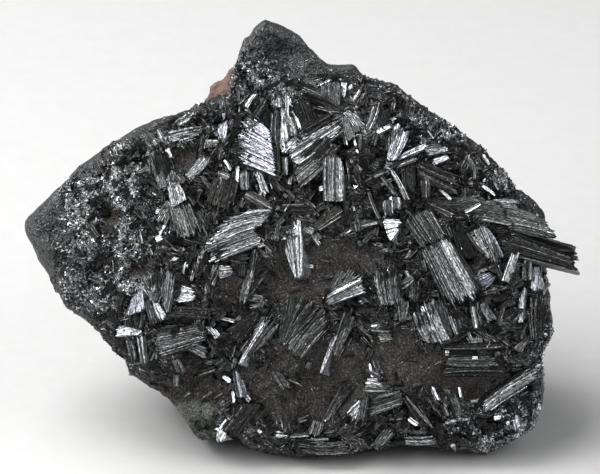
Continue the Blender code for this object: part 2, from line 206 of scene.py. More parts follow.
# %% A ball with more faces in front
FRONT_LIMIT = -0.12  # y on the unit ball up to which faces are divided again
start_alone()
bpy.ops.mesh.primitive_ico_sphere_add(subdivisions=7, radius=1.0, location=(0.0, 0.0, 0.0))
ore = bpy.context.object
ore.name = "ore_mass"
bpy.ops.object.mode_set(mode="EDIT")
bpy.ops.mesh.select_all(action="DESELECT")
bpy.ops.object.mode_set(mode="OBJECT")
bpy.context.tool_settings.mesh_select_mode = (False, False, True)
centres = np.empty(len(ore.data.polygons) * 3)
ore.data.polygons.foreach_get("center", centres)
ore.data.polygons.foreach_set("select", centres.reshape(-1, 3)[:, 1] < FRONT_LIMIT)
bpy.ops.object.mode_set(mode="EDIT")
bpy.ops.mesh.subdivide(number_cuts=1)
bpy.ops.mesh.select_all(action="SELECT")
bpy.ops.mesh.quads_convert_to_tris()
bpy.ops.object.mode_set(mode="OBJECT")
print("ball:", len(ore.data.vertices), "points,", len(ore.data.polygons), "faces")

# %% [markdown]
# ## The outline and the bulges
# The outline is a list of corners round the face. The front bulges a little and stays flat in the middle;
# the back bulges far more, and its corners are evened out, as a broken lump's are. Noise adds lumps
# and ledges, and a few hollows and swellings are placed where the specimen has them.

# %% Sizes of the slab
FRONT_BULGE = 11.0  # mm from the rim plane to the front of the face
BACK_BULGE = 27.0  # mm from the rim plane to the back of the ore
FACE_FLATNESS = 0.55
BACK_FLATNESS = 0.85
FACE_FULLNESS = 0.72
BACK_FULLNESS = 0.95
ROUNDING = 28  # degrees of outline over which its corners are evened out, away from the rim
MIDDLE = (0.0, 34.2)  # u, w of the point from which the outline is measured
LUMP_SIZE = 13.0
LEDGE_SIZE = 5.5
BREAK_SIZE = 9.0
LUMP_HEIGHT = 1.6
LEDGE_HEIGHT = 1.2
BREAK_HEIGHT = 2.0
BACK_LUMPS, BACK_LEDGES, BACK_BREAKS = 3.5, 2.0, 0.5  # how much rougher or smoother the back is
BACK_SWING = 1.8  # how far the back's lumps move its points sideways, against their height
FRONT_EVENNESS, BACK_EVENNESS = 0.6, 1.7  # how fast the outline is evened out away from the rim
RIM_FADE = 2.5  # how fast the relief grows away from the rim

# The ore's outline on its face, in mm, from the peak and then clockwise.
ORE_OUTLINE = (
    (-6.0, 72.5), (-4.2, 72.0), (-3.0, 71.5), (0.0, 69.8), (1.3, 68.2), (3.2, 66.0), (4.8, 64.8),
    (8.8, 65.0), (10.7, 62.7), (16.0, 61.5), (17.8, 59.8), (22.0, 56.7), (27.2, 53.2), (30.7, 50.7),
    (34.5, 46.2), (36.3, 44.0), (39.0, 42.3), (40.2, 40.5), (40.5, 38.5), (41.0, 30.0), (41.3, 25.5),
    (42.0, 20.7), (39.8, 16.2), (40.5, 14.0), (40.2, 8.0), (38.8, 4.5), (35.0, 2.2), (31.2, 0.3),
    (25.5, 1.0), (17.8, 2.0), (10.5, 1.0), (7.7, 0.2), (0.0, 0.0), (-5.3, 0.5), (-9.2, 1.8),
    (-10.7, 3.3), (-15.7, 3.0), (-16.8, 2.8), (-19.5, 6.5), (-22.0, 9.8), (-26.2, 12.5), (-28.3, 13.7),
    (-29.0, 16.3), (-30.8, 17.5), (-34.0, 21.7), (-38.5, 24.5), (-40.8, 28.3), (-43.3, 32.2),
    (-45.5, 36.3), (-46.0, 37.8), (-45.8, 39.2), (-43.7, 41.3), (-39.2, 45.5), (-36.7, 48.2),
    (-32.2, 51.3), (-27.0, 54.5), (-24.5, 55.7), (-18.2, 57.0), (-15.5, 58.2), (-13.2, 58.9),
    (-11.3, 59.9), (-10.7, 64.3), (-10.3, 66.3), (-9.3, 69.5), (-8.3, 69.7), (-7.7, 71.3),
)

# Hollows and swellings of the face: u, w, radius and height in mm. A hollow has a height below zero.
FACE_RELIEF = (
    (3.0, 12.0, 9.0, -2.4),
    (1.0, 31.0, 4.5, -1.6),
    (-17.0, 11.0, 6.0, -2.2),
    (25.0, 13.5, 7.0, -2.0),
    (26.0, 33.5, 2.2, -3.2),
    (-3.0, 66.0, 7.0, -5.5),
    (8.0, 61.0, 4.0, -1.5),
    (-36.0, 38.0, 9.0, -2.5),
    (33.0, 36.0, 6.0, 1.5),
    (8.0, 50.0, 10.0, 1.2),
    (-22.0, 24.0, 7.0, 1.6),
)
# The same for small forms that only this finer ore can show.
SMALL_RELIEF = (
    (-31.3, 40.0, 1.6, -1.8),
    (-26.8, 30.8, 1.8, -1.6),
    (29.2, 11.0, 1.7, -1.8),
    (-8.0, 28.5, 2.6, 0.9),
    (-17.7, 7.3, 2.4, 1.4),
    (-18.7, 53.0, 2.0, 1.2),
    (-18.7, 49.5, 2.4, -1.6),
    (26.5, 16.5, 3.0, 1.0),
    (-9.0, 34.5, 2.4, -1.0),
    (14.5, 36.0, 2.2, -1.2),
    (6.5, 30.0, 3.0, -1.2),
    (-1.0, 45.5, 2.6, -1.4),
    (22.5, 43.5, 2.8, -1.3),
    (34.0, 48.0, 2.6, 0.9),
    (-24.5, 34.5, 3.0, -1.4),
    (4.0, 6.0, 4.0, 0.8),
)


# %% Distances from the middle to the outline
def outline_reach(angle):
    """Distance in mm from MIDDLE to the outline, in a direction measured from +u towards +w."""
    direction = Vector((math.cos(angle), math.sin(angle)))
    middle = Vector(MIDDLE)
    reach = 0.0
    for index, corner in enumerate(ORE_OUTLINE):
        start = Vector(corner) - middle
        side = Vector(ORE_OUTLINE[(index + 1) % len(ORE_OUTLINE)]) - middle - start
        across = direction.x * side.y - direction.y * side.x
        if across == 0.0:
            continue
        along_side = (start.x * direction.y - start.y * direction.x) / across
        distance = (start.x * side.y - start.y * side.x) / across
        if 0.0 <= along_side <= 1.0 and distance > 0.0:
            reach = max(reach, distance)
    return reach


SAMPLES = 720
angles = np.arange(SAMPLES) * math.tau / SAMPLES
reaches = np.array([outline_reach(angle) for angle in angles])
span = round(ROUNDING / 360.0 * SAMPLES)
even_reaches = np.mean([np.roll(reaches, shift) for shift in range(-span, span + 1)], axis=0)
print("reach in mm:", round(reaches.min(), 1), "to", round(reaches.max(), 1))


# %% Noise over many points at once
def soft_noise(places, size, shift=0.0):
    """Noise from -1 to 1 whose lumps are about size across."""
    return np.array([noise.noise(place) for place in ((places + (0.0, shift, 0.0)) / size).tolist()])


def cell_noise(places, size):
    return np.array([noise.cell(place) for place in (places / size).tolist()]) - 0.5


def facet_noise(places, size):
    """Flat facets about size across, each tilted its own way, as on a broken surface."""
    heights = np.empty(len(places))
    for index, place in enumerate((places / size).tolist()):
        nearest = noise.voronoi(place)[1][0]
        tilt = noise.cell_vector(nearest * 17.0)
        heights[index] = sum((part - seed) * (lean - 0.5) for part, seed, lean in zip(place, nearest, tilt))
    return heights


def relief(spots, u, w):
    height = np.zeros(len(u))
    for at_u, at_w, radius, rise in spots:
        height += rise * np.exp(-((u - at_u) ** 2 + (w - at_w) ** 2) / radius**2)
    return height


# %% Move the ball's points to the slab
ball = np.empty(len(ore.data.vertices) * 3)
ore.data.vertices.foreach_get("co", ball)
ball = ball.reshape(-1, 3)
ball /= np.linalg.norm(ball, axis=1)[:, None]
inward = np.minimum(1.0, np.hypot(ball[:, 0], ball[:, 2]))
turn = np.arctan2(ball[:, 2], ball[:, 0])
facing = np.abs(ball[:, 1])
front = ball[:, 1] < 0.0
evenness = np.where(front, FRONT_EVENNESS * facing, np.minimum(1.0, BACK_EVENNESS * facing))
reach = np.interp(turn, angles, reaches, period=math.tau) * (1.0 - evenness)
reach += np.interp(turn, angles, even_reaches, period=math.tau) * evenness
reach *= inward ** np.where(front, FACE_FULLNESS, BACK_FULLNESS)
u = MIDDLE[0] + reach * np.cos(turn)
w = MIDDLE[1] + reach * np.sin(turn)
deep = ball[:, 1] * BACK_BULGE
places = np.column_stack((u, deep, w))
lumps = soft_noise(places, LUMP_SIZE)
ledges = soft_noise(places, LEDGE_SIZE, 40.0)
breaks = cell_noise(np.column_stack((u, w, deep)), BREAK_SIZE)
front_fade = np.minimum(1.0, RIM_FADE * facing)  # leaves the rim on its outline
front_depth = -FRONT_BULGE * facing**FACE_FLATNESS - relief(FACE_RELIEF, u, w) * front_fade
front_depth -= relief(SMALL_RELIEF, u, w) * front_fade
front_depth -= (LUMP_HEIGHT * lumps + LEDGE_HEIGHT * ledges) * front_fade
back_fade = facing**0.6
back_depth = BACK_BULGE * facing**BACK_FLATNESS
back_rough = BACK_LUMPS * LUMP_HEIGHT * lumps + BACK_LEDGES * LEDGE_HEIGHT * ledges
back_depth += (back_rough + BACK_BREAKS * BREAK_HEIGHT * breaks) * back_fade
swing = np.where(front, 0.0, LUMP_HEIGHT * BACK_SWING * lumps * facing)
slab = np.column_stack(
    (u + swing * np.cos(turn), np.where(front, front_depth, back_depth), w + swing * np.sin(turn))
)
ore.data.vertices.foreach_set("co", slab.ravel())
ore.data.update()
print("slab in mm:", slab.min(axis=0).round(1), slab.max(axis=0).round(1))

# %% [markdown]
# ## Zones of the ore
# The ore doesn't look the same all over. The tips and the upper left edge are smooth and dull, the left
# third, the knob and the lower right corner glitter with crust, the pits between the blades are sooty, and
# two small ledges near the foot are pale. Each zone is a few ovals on the face, with a border that noise
# makes uneven. They are kept as attributes of the mesh, so the relief and the material use the same zones.

# %% Ovals for each zone
# Each oval: u, w of its middle, half its width and half its height, in mm.
CRUST_OVALS = (
    (-32.4, 38.9, 9.4, 8.9),
    (-28.5, 41.0, 4.0, 3.0),
    (-32.0, 30.5, 6.5, 7.0),
    (-5.0, 62.5, 6.5, 4.2),
    (22.0, 54.0, 7.0, 2.4),
    (33.0, 5.5, 8.5, 5.0),
    (40.5, 17.5, 2.5, 4.0),
    (34.0, 46.0, 3.0, 1.8),
)
SOOT_OVALS = (
    (2.0, 11.5, 13.0, 9.0),
    (1.0, 30.5, 5.0, 6.0),
    (-18.0, 11.0, 7.5, 5.5),
    (25.0, 13.5, 11.0, 5.0),
    (-31.3, 40.0, 1.8, 2.0),
    (-26.8, 30.8, 2.0, 1.4),
    (-18.7, 49.5, 2.8, 2.4),
    (27.0, 33.5, 3.0, 3.6),
    (8.5, 33.0, 5.0, 3.0),
    (-3.5, 29.5, 3.0, 3.5),
    (14.5, 16.5, 6.0, 5.0),
    (-11.0, 28.5, 4.0, 3.0),
)
SMOOTH_OVALS = (
    (-43.5, 37.0, 5.5, 8.0),
    (-3.5, 69.5, 8.5, 4.6),
    (3.0, 65.0, 8.0, 2.6),
    (-36.0, 49.0, 5.0, 3.0),
    (-27.0, 54.0, 6.0, 2.4),
)
PALE_OVALS = ((-17.8, 7.2, 3.6, 1.7), (-14.8, 4.6, 2.2, 1.6))
BACK_SEAM = 0.25  # how far round the rim the zones reach on to the back
PALE_SHARPNESS = 4.0  # of the pale ledges' border
BORDER_SIZES = (3.5, 1.3)  # mm, of the bays in the zones' borders


def oval_zone(ovals, places, rough, sharpness=2.5):
    """1 inside the ovals and 0 outside, with an uneven border."""
    best = np.full(len(places), -9.0)
    for at_u, at_w, half_width, half_height in ovals:
        far = np.hypot((places[:, 0] - at_u) / half_width, (places[:, 2] - at_w) / half_height)
        best = np.maximum(best, 1.0 - far)
    return np.clip(0.5 + sharpness * (best + 0.35 * rough), 0.0, 1.0)


border = soft_noise(slab, BORDER_SIZES[0], 7.0) + 0.5 * soft_noise(slab, BORDER_SIZES[1], 3.0)
on_face = np.clip((BACK_SEAM - ball[:, 1]) / 0.2, 0.0, 1.0)
soot = oval_zone(SOOT_OVALS, slab, border) * on_face
smooth = oval_zone(SMOOTH_OVALS, slab, border)
crust = oval_zone(CRUST_OVALS, slab, border) * (1.0 - soot) * (1.0 - 0.85 * smooth) * on_face
pale = oval_zone(PALE_OVALS, slab, border, PALE_SHARPNESS) * on_face
for zone_name, share in {"crust": crust, "soot": soot, "smooth": smooth, "pale": pale}.items():
    layer = ore.data.attributes.new(zone_name, "FLOAT", "POINT")
    layer.data.foreach_set("value", share)
    print(zone_name, "covers", round(float(share.mean()) * 100, 1), "% of the points")

# %% [markdown]
# ## Fine relief
# Broken ore is made of small facets, crust of rounded grains and soot of a fine velvet. All three push
# the points out along their normals, by an amount that the zones set. This is real geometry, so it
# catches light and gives the outline its roughness from every side.

# %% Push the points out
COARSE_FACET, FINE_FACET = 4.2, 1.5  # mm across
GRAIN_SIZE, FINE_GRAIN_SIZE = 0.85, 0.45
VELVET_SIZES = (0.6, 1.8)
DENT_SIZE = 2.6  # mm, of the shallow dents in the smooth zones
FACET_HEIGHT = 1.5  # mm
FINE_SHARE = 0.75  # height of the fine facets, against the coarse ones
GRAIN_HEIGHT = 0.6
SOOT_HEIGHT = 0.16
DENT_HEIGHT = 0.25
normals = np.empty(len(slab) * 3)
ore.data.vertices.foreach_get("normal", normals)
normals = normals.reshape(-1, 3)
plain = np.clip(1.0 - crust - soot - 0.8 * smooth, 0.0, 1.0)
coarse = facet_noise(slab, COARSE_FACET)
fine = facet_noise(slab + 31.0, FINE_FACET)
grain = 1.0 - 2.2 * np.abs(soft_noise(slab, GRAIN_SIZE, 11.0))
grain += 0.5 * soft_noise(slab, FINE_GRAIN_SIZE, 5.0)
velvet = soft_noise(slab, VELVET_SIZES[0], 19.0) + 0.6 * soft_noise(slab, VELVET_SIZES[1], 23.0)
height = FACET_HEIGHT * coarse * (0.25 + 0.75 * plain)
height += FINE_SHARE * FACET_HEIGHT * fine * (0.15 + 0.85 * plain + 0.3 * soot)
height += GRAIN_HEIGHT * grain * np.maximum(crust, 0.45 * plain) + SOOT_HEIGHT * velvet * soot
height += DENT_HEIGHT * smooth * soft_noise(slab, DENT_SIZE, 29.0)
rim = np.clip(1.0 - 4.0 * facing, 0.0, 1.0)
height *= 1.0 - 0.55 * rim  # calmer at the rim, which stays on its outline
rough_slab = slab + normals * height[:, None]
ore.data.vertices.foreach_set("co", rough_slab.ravel())
ore.data.update()
face_tree = BVHTree.FromObject(ore, bpy.context.evaluated_depsgraph_get())
print("relief in mm:", round(height.min(), 2), "to", round(height.max(), 2))

# %% [markdown]
# ## One lath
# A blade of pyrolusite is a bundle of thin laths that lie side by side, which gives it its fine stripes.
# One lath is modelled by hand, a bar cut across twice so that it can bow, and every other lath is a copy
# of its points, stretched between a root and a tip of its own.

# %% Model the lath
LATH_CUTS = (-0.18, 0.16)  # where the bar is cut across, from its middle
start_alone()
bpy.ops.mesh.primitive_cube_add(size=1.0, location=(0.0, 0.0, 0.0))
lath = bpy.context.object
bpy.ops.object.mode_set(mode="EDIT")
for cut in LATH_CUTS:
    bpy.ops.mesh.select_all(action="SELECT")
    bpy.ops.mesh.bisect(plane_co=(cut, 0.0, 0.0), plane_no=(1.0, 0.0, 0.0))
bpy.ops.object.mode_set(mode="OBJECT")
lath_points = np.array([point.co for point in lath.data.vertices])
lath_faces = np.array([list(face.vertices) for face in lath.data.polygons])
lath_points[:, 0] += 0.5  # 0 at the root, 1 at the tip
lath_points[:, 2] -= 0.5  # 0 on top, -1 underneath
bpy.data.objects.remove(lath)
print("lath:", len(lath_points), "points,", len(lath_faces), "faces")


# %% [markdown]
# ## Copies in one mesh
# Thousands of laths would be slow as objects. Their points are worked out together as arrays and become
# one mesh. Each lath keeps its own colour and gloss as attributes, and a UV map that runs along it in
# millimetres, which the stripes of the finish follow.


# %% Build a mesh from many copies
LOWEST = 0.00005  # metres, just above the table


def unit(vectors):
    return vectors / np.maximum(np.linalg.norm(vectors, axis=-1, keepdims=True), 1e-9)


def mesh_of_copies(name, points, faces, colours, gloss, across_mm, along_mm):
    """points is copies x template x 3 in face mm. Copies under the table are left out, others end on it."""
    points = points @ np.array(FACE_TO_WORLD.to_3x3()).T + np.array(FACE_TO_WORLD.translation)
    above = points[..., 2].max(axis=1) > LOWEST
    points, colours, gloss = points[above], np.array(colours)[above], np.array(gloss)[above]
    across_mm, along_mm = across_mm[above], along_mm[above]
    points[..., 2] = np.maximum(points[..., 2], LOWEST)
    copies, per_copy = points.shape[:2]
    corners = (faces[None] + (np.arange(copies) * per_copy)[:, None, None]).reshape(-1, faces.shape[1])
    mesh = bpy.data.meshes.new(name)
    mesh.from_pydata(points.reshape(-1, 3), [], corners)
    colour_layer = mesh.attributes.new("blade_colour", "FLOAT_COLOR", "POINT")
    repeated = np.repeat(np.column_stack((colours, np.ones(copies))), per_copy, axis=0)
    colour_layer.data.foreach_set("color", repeated.ravel())
    gloss_layer = mesh.attributes.new("blade_roughness", "FLOAT", "POINT")
    gloss_layer.data.foreach_set("value", np.repeat(gloss, per_copy))
    stripes = mesh.uv_layers.new(name="stripes")
    flat = np.column_stack((across_mm.ravel(), along_mm.ravel()))[corners.ravel()]
    stripes.data.foreach_set("uv", flat.ravel())
    piece = bpy.data.objects.new(name, mesh)
    bpy.context.scene.collection.objects.link(piece)
    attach(piece, "root")
    print(name, "has", len(mesh.vertices), "points and", len(mesh.polygons), "faces")
    return piece


# %% Build a mesh from many laths
PATTERN_SHIFT = 1.37  # mm by which each lath's stripes are moved against the last one's


def column_of(rows, column):
    return np.array([row[column] for row in rows], float)


def mesh_of_laths(name, rows):
    """rows holds a tuple a lath: root, tip, across, widths, thicknesses, bow, sway, slant, colour, gloss."""
    root, tip, across = (column_of(rows, column) for column in range(3))
    root_width, tip_width, root_thickness, tip_thickness = (column_of(rows, column) for column in range(3, 7))
    bow, sway, slant = (column_of(rows, column)[:, None] for column in range(7, 10))
    along = unit(tip - root)
    outward = unit(np.cross(along, across))
    turned = outward[:, 1] > 0.0
    outward[turned] *= -1.0
    across = np.where(turned[:, None], -across, across)
    x, y, z = lath_points.T
    width = root_width[:, None] * (1.0 - x) + tip_width[:, None] * x
    length = np.linalg.norm(tip - root, axis=1)
    forward = length[:, None] * x + slant * y * (x > 0.99)
    thickness = root_thickness[:, None] * (1.0 - x) + tip_thickness[:, None] * x
    bulge = 4.0 * x * (1.0 - x)
    rise = thickness * z + bow * bulge
    aside = y * width + np.where(turned[:, None], -sway, sway) * bulge
    points = root[:, None] + along[:, None] * forward[..., None]
    points += across[:, None] * aside[..., None] + outward[:, None] * rise[..., None]
    offset = np.arange(len(rows))[:, None] * PATTERN_SHIFT
    across_mm = y * width + z * thickness + offset
    colours, gloss = column_of(rows, 10), column_of(rows, 11)
    return mesh_of_copies(name, points, lath_faces, colours, gloss, across_mm, forward)


# %% [markdown]
# ## Finishes of the blades, with painted light and shade
# All blades are the same mineral, yet each plate has its own colour: the white, lilac and silver colours
# paint the highlights of plates that catch the light, the dark and black ones paint shade, and the grey,
# olive and brown ones are tarnish with some painted light. Seen closely a plate isn't one tone but lines:
# most of its laths have the main tone, some are brighter and some nearly black, which paints the light and
# shade of its fine ridges. Metal is bright only where it mirrors a light, so a finish also says how far
# its plates turn to the lamp.

# %% Named finishes, with painted light and shade
# main colour, a painted highlight in the white, lilac and silver finishes and painted shade in the dark and
# black ones; tone and share of bright laths, which paint highlights; tone and share of dark laths, which
# paint shade; roughness; turn to the lamp
FINISHES_WITH_PAINTED_LIGHT = {
    "white": ((0.76, 0.78, 0.83), 0.95, 0.15, 0.10, 0.24, 0.25, 1.0),
    "lilac": ((0.56, 0.57, 0.66), 0.85, 0.20, 0.10, 0.28, 0.28, 0.9),
    "silver": ((0.48, 0.49, 0.52), 0.82, 0.20, 0.06, 0.30, 0.28, 0.85),
    "light": ((0.31, 0.32, 0.33), 0.70, 0.20, 0.05, 0.25, 0.32, 0.6),
    "blue": ((0.24, 0.26, 0.30), 0.60, 0.18, 0.05, 0.25, 0.32, 0.5),
    "grey": ((0.20, 0.206, 0.208), 0.55, 0.14, 0.035, 0.25, 0.36, 0.4),
    "olive": ((0.205, 0.216, 0.210), 0.50, 0.12, 0.035, 0.25, 0.38, 0.3),
    "moss": ((0.120, 0.130, 0.126), 0.40, 0.12, 0.030, 0.28, 0.40, 0.1),
    "brown": ((0.090, 0.088, 0.084), 0.45, 0.10, 0.02, 0.25, 0.40, 0.1),
    "dark": ((0.062, 0.063, 0.063), 0.32, 0.12, 0.018, 0.30, 0.36, -0.1),
    "black": ((0.022, 0.022, 0.023), 0.10, 0.05, 0.008, 0.30, 0.34, -0.4),
}


BRIGHT_STRENGTHS = (0.6, 1.0)
MAIN_STRENGTHS = (0.72, 1.1)
ROUGHNESS_SPREAD = (-0.04, 0.08)


def lath_look(chance, finish):
    """Colour and roughness of one lath of a finish; its bright and dark laths paint highlights and shade."""
    colour, bright, bright_share, dark, dark_share, roughness, _ = FINISHES_WITH_PAINTED_LIGHT[finish]
    pick = chance.random()
    if pick < bright_share:
        strength = bright * chance.uniform(*BRIGHT_STRENGTHS) / max(colour)
    elif pick < bright_share + dark_share:
        strength = dark / max(colour)
    else:
        strength = chance.uniform(*MAIN_STRENGTHS)
    return [value * strength for value in colour], roughness + chance.uniform(*ROUGHNESS_SPREAD)


# %% [markdown]
# ## Growing a plate
# A plate is a sheet of parallel laths between two edges, drawn by its four corners. Its roots sit in the
# ore, its far edge stands off it, and it rolls about its length until it faces the way its finish asks.
# The laths end in small groups at different lengths, which gives the stepped, splintered ends. Under a
# wide plate lies a darker one, turned a little; its darker colour is painted shade.

# %% Sizes of a plate
PLATE_THICKNESS = 0.6  # mm
LATH_WIDTH = 0.15
GROUP_WIDTH = 0.55  # mm across the laths that end and turn together
EDGE_SHARE = 0.17  # of a plate's width on either side, where its laths are splintered
EDGE_LOSS = 0.45  # share of its length that a splintered lath lacks at most
TIP_SHARES = (1.0, 1.0, 0.7, 0.45, 0.3)  # width of a lath's tip, against the plate's
LATH_OVERLAP = 1.15  # each lath's width, against its share of the plate
SHORTEST_GROUP = -0.14  # change of a group's length at most, against the plate's length
LONGEST_GROUP = 0.02
GROUP_STAGGER = 0.07  # mm that a group stands above or below its neighbours
GROUP_TWIST = 0.05  # radians that a group rolls about its own length
GROUP_SHADES = (0.85, 1.12)
GROUP_MIXING = 0.2  # how far the borders of the groups are blurred, against a group's width
LATH_TWIST = 0.10
LATH_LOSSES = (0.0, 0.0, -0.02, -0.05, -0.10)  # change of a lath's length, against the plate's
ROOT_STAGGER = (-0.02, 0.03)  # how much earlier or later a lath starts, against the plate's length
TIP_LIFT = 0.03  # mm, the spread of the heights at which laths end
TIP_THICKNESSES = (0.7, 1.0)  # thickness at the tip, against the plate's
SLANT = 0.5  # mm by which a lath's end is cut askew at most
PLATE_ARC = 0.018  # how far the laths of a plate bow sideways, against their length
LATH_ARC = 0.007  # the same for one lath alone
LATH_BOWS = (-0.01, 0.02)  # how far a lath bows outward, against its length
PLATE_TILT = 0.04  # the spread of the directions in which plates of one finish face
TEST_ALONG = (0.3, 0.55, 0.8, 1.0)  # shares of a plate's length and width where its clearance is measured
TEST_ACROSS = (0.0, 0.5, 1.0)
STEEPEST_RISE = 5.0  # mm that a plate's far edge may stand in front of its roots
DEEPEST_DIP = 2.0
STAND_OFF_SCALE = 1.3
CLEARANCE = 0.2  # mm that a plate stays in front of the ore
HIGHEST_LIFT = 2.6  # mm that it may be moved forward for that
ROOT_DEPTH = 0.5  # mm that the roots reach into the ore
ROOT_FRONT = 0.3  # mm in front of the ore at which a plate's plane starts
THICKEST_ROOT = 3.0  # mm that a root may be thicker than its plate
TO_VIEWER = Vector((0.0, -1.0, 0.0))
TO_MIRROR = Vector((-0.31, -0.93, 0.19))  # a face turned this way mirrors the front lamp
INTO_ORE = Vector((0.0, 1.0, 0.0))
# A darker finish: painted shade for the plate under a wide one, and the finish of small plates in the crust.
DARKER = {"white": "silver", "lilac": "grey", "silver": "grey", "dark": "black", "black": "black"}
DARKER.update({finish: "dark" for finish in ("light", "grey", "olive", "moss", "blue", "brown")})


# %% The plane of a plate
def face_depth(at_u, at_w, otherwise=0.0):
    """Depth in mm of the ore's surface under a point of the face, seen from the front."""
    hit = face_tree.ray_cast(Vector((at_u, -5.0 * FRONT_BULGE, at_w)), INTO_ORE)[0]
    return hit.y if hit else otherwise


def plate_plane(chance, corners, stand_off, catch):
    """The plate's root point and outward normal, moved forward until it clears the ore."""
    root = (corners[0] + corners[1]) / 2.0
    tip = (corners[2] + corners[3]) / 2.0
    root.y = face_depth(root.x, root.z) - ROOT_FRONT
    tip.y = face_depth(tip.x, tip.z, root.y) - stand_off * STAND_OFF_SCALE
    tip.y = min(max(tip.y, root.y - STEEPEST_RISE), root.y + DEEPEST_DIP)
    along = (tip - root).normalized()
    wanted = TO_VIEWER.lerp(TO_MIRROR, catch)
    wanted += Vector((chance.gauss(0.0, PLATE_TILT), 0.0, chance.gauss(0.0, PLATE_TILT)))
    outward = (wanted - along * wanted.dot(along)).normalized()
    outward = outward.lerp(wanted.normalized(), max(0.0, catch)).normalized()
    lift = 0.0
    for share in TEST_ALONG:
        for side in TEST_ACROSS:
            place = corners[0].lerp(corners[1], side).lerp(corners[2].lerp(corners[3], side), share)
            depth = plane_depth(root, outward, place)
            lift = max(lift, depth + CLEARANCE - face_depth(place.x, place.z, depth + CLEARANCE))
    root.y -= min(lift, HIGHEST_LIFT)
    return root, outward


def plane_depth(point, outward, place):
    """Depth in mm of a plane at a place on the face."""
    return point.y - (outward.x * (place.x - point.x) + outward.z * (place.z - point.z)) / outward.y


# %% Grow one plate
def grow_plate(rows, chance, corners, stand_off, finish, crown=0.0, thickness=PLATE_THICKNESS, sink=0.0,
               ragged=1.0, group_width=GROUP_WIDTH):
    """Adds one plate and returns its plane. corners are the ends of its root edge, then of its far edge."""
    root, outward = plate_plane(chance, corners, stand_off, FINISHES_WITH_PAINTED_LIGHT[finish][6])
    root.y += sink
    widths = (corners[1] - corners[0]).length, (corners[3] - corners[2]).length
    laths = max(2, round(max(widths) / LATH_WIDTH))
    groups = max(1, round(max(widths) / group_width))
    arc = chance.gauss(0.0, PLATE_ARC)
    looks = [(
        chance.uniform(SHORTEST_GROUP, LONGEST_GROUP) * ragged, chance.uniform(-GROUP_STAGGER, GROUP_STAGGER),
        chance.uniform(-GROUP_TWIST, GROUP_TWIST), chance.uniform(*GROUP_SHADES),
    ) for _ in range(groups)]
    for number in range(laths):
        share = (number + 0.5) / laths
        group = int(share * groups + chance.uniform(-GROUP_MIXING, GROUP_MIXING))
        longer, lift, twist, shade = looks[min(groups - 1, group)]
        start = corners[0].lerp(corners[1], share)
        end = corners[2].lerp(corners[3], share)
        longer += chance.choice(LATH_LOSSES) * ragged + crown * (1.0 - (2.0 * share - 1.0) ** 2)
        edge = max(0.0, 1.0 - min(share, 1.0 - share) / EDGE_SHARE) * min(1.0, ragged)
        longer -= edge * chance.uniform(0.0, EDGE_LOSS)
        end = start + (end - start) * (1.0 + longer)
        later = chance.uniform(*ROOT_STAGGER) + edge * chance.uniform(0.0, 0.5 * EDGE_LOSS)
        start = start + (end - start) * later
        start.y = plane_depth(root, outward, start) + lift
        end.y = plane_depth(root, outward, end) + lift + chance.gauss(0.0, TIP_LIFT)
        own_along = (end - start).normalized()
        roll = twist + chance.gauss(0.0, LATH_TWIST)
        across = own_along.cross(outward).normalized()
        across = (across * math.cos(roll) + outward * math.sin(roll)).normalized()
        root_thickness = thickness + max(0.0, face_depth(start.x, start.z, start.y) - start.y) + ROOT_DEPTH
        colour, roughness = lath_look(chance, finish)
        rows.append((
            start, end, across, LATH_OVERLAP * widths[0] / laths,
            LATH_OVERLAP * widths[1] / laths * (chance.choice(TIP_SHARES) if ragged >= 1.0 else 1.0),
            min(root_thickness, thickness + THICKEST_ROOT), thickness * chance.uniform(*TIP_THICKNESSES),
            chance.uniform(*LATH_BOWS) * (end - start).length,
            (arc + chance.gauss(0.0, LATH_ARC)) * (end - start).length, chance.uniform(-SLANT, SLANT),
            [value * shade for value in colour], roughness,
        ))
    return root, outward


def swung(corners, angle, shorter):
    """The same corners with the far edge turned about the roots, in the plane of the face."""
    middle = (corners[0] + corners[1]) / 2.0
    turn = Matrix.Rotation(angle, 3, "Y")
    return corners[:2] + [middle + turn @ (corner - middle) * shorter for corner in corners[2:]]


# %% [markdown]
# ## The main plates
# The plates were laid out over the photograph, one by one, and each has a name. Its four corners are
# picture points, six to a millimetre, counted from the left and from the top: the two ends of its root
# edge, then those of its far edge. After them come how far the far edge stands off the ore in mm, its
# finish and, where the far edge is rounded, by how much of the length its middle stands out.

# %% Picture points
POINTS_A_MM = 6.0
PICTURE_FOOT = (300.0, 455.0)  # the picture point that lies at u = 0, w = 0


def on_face_at(x, y):
    """A picture point as a place on the face, in mm."""
    return Vector(((x - PICTURE_FOOT[0]) / POINTS_A_MM, 0.0, (PICTURE_FOOT[1] - y) / POINTS_A_MM))


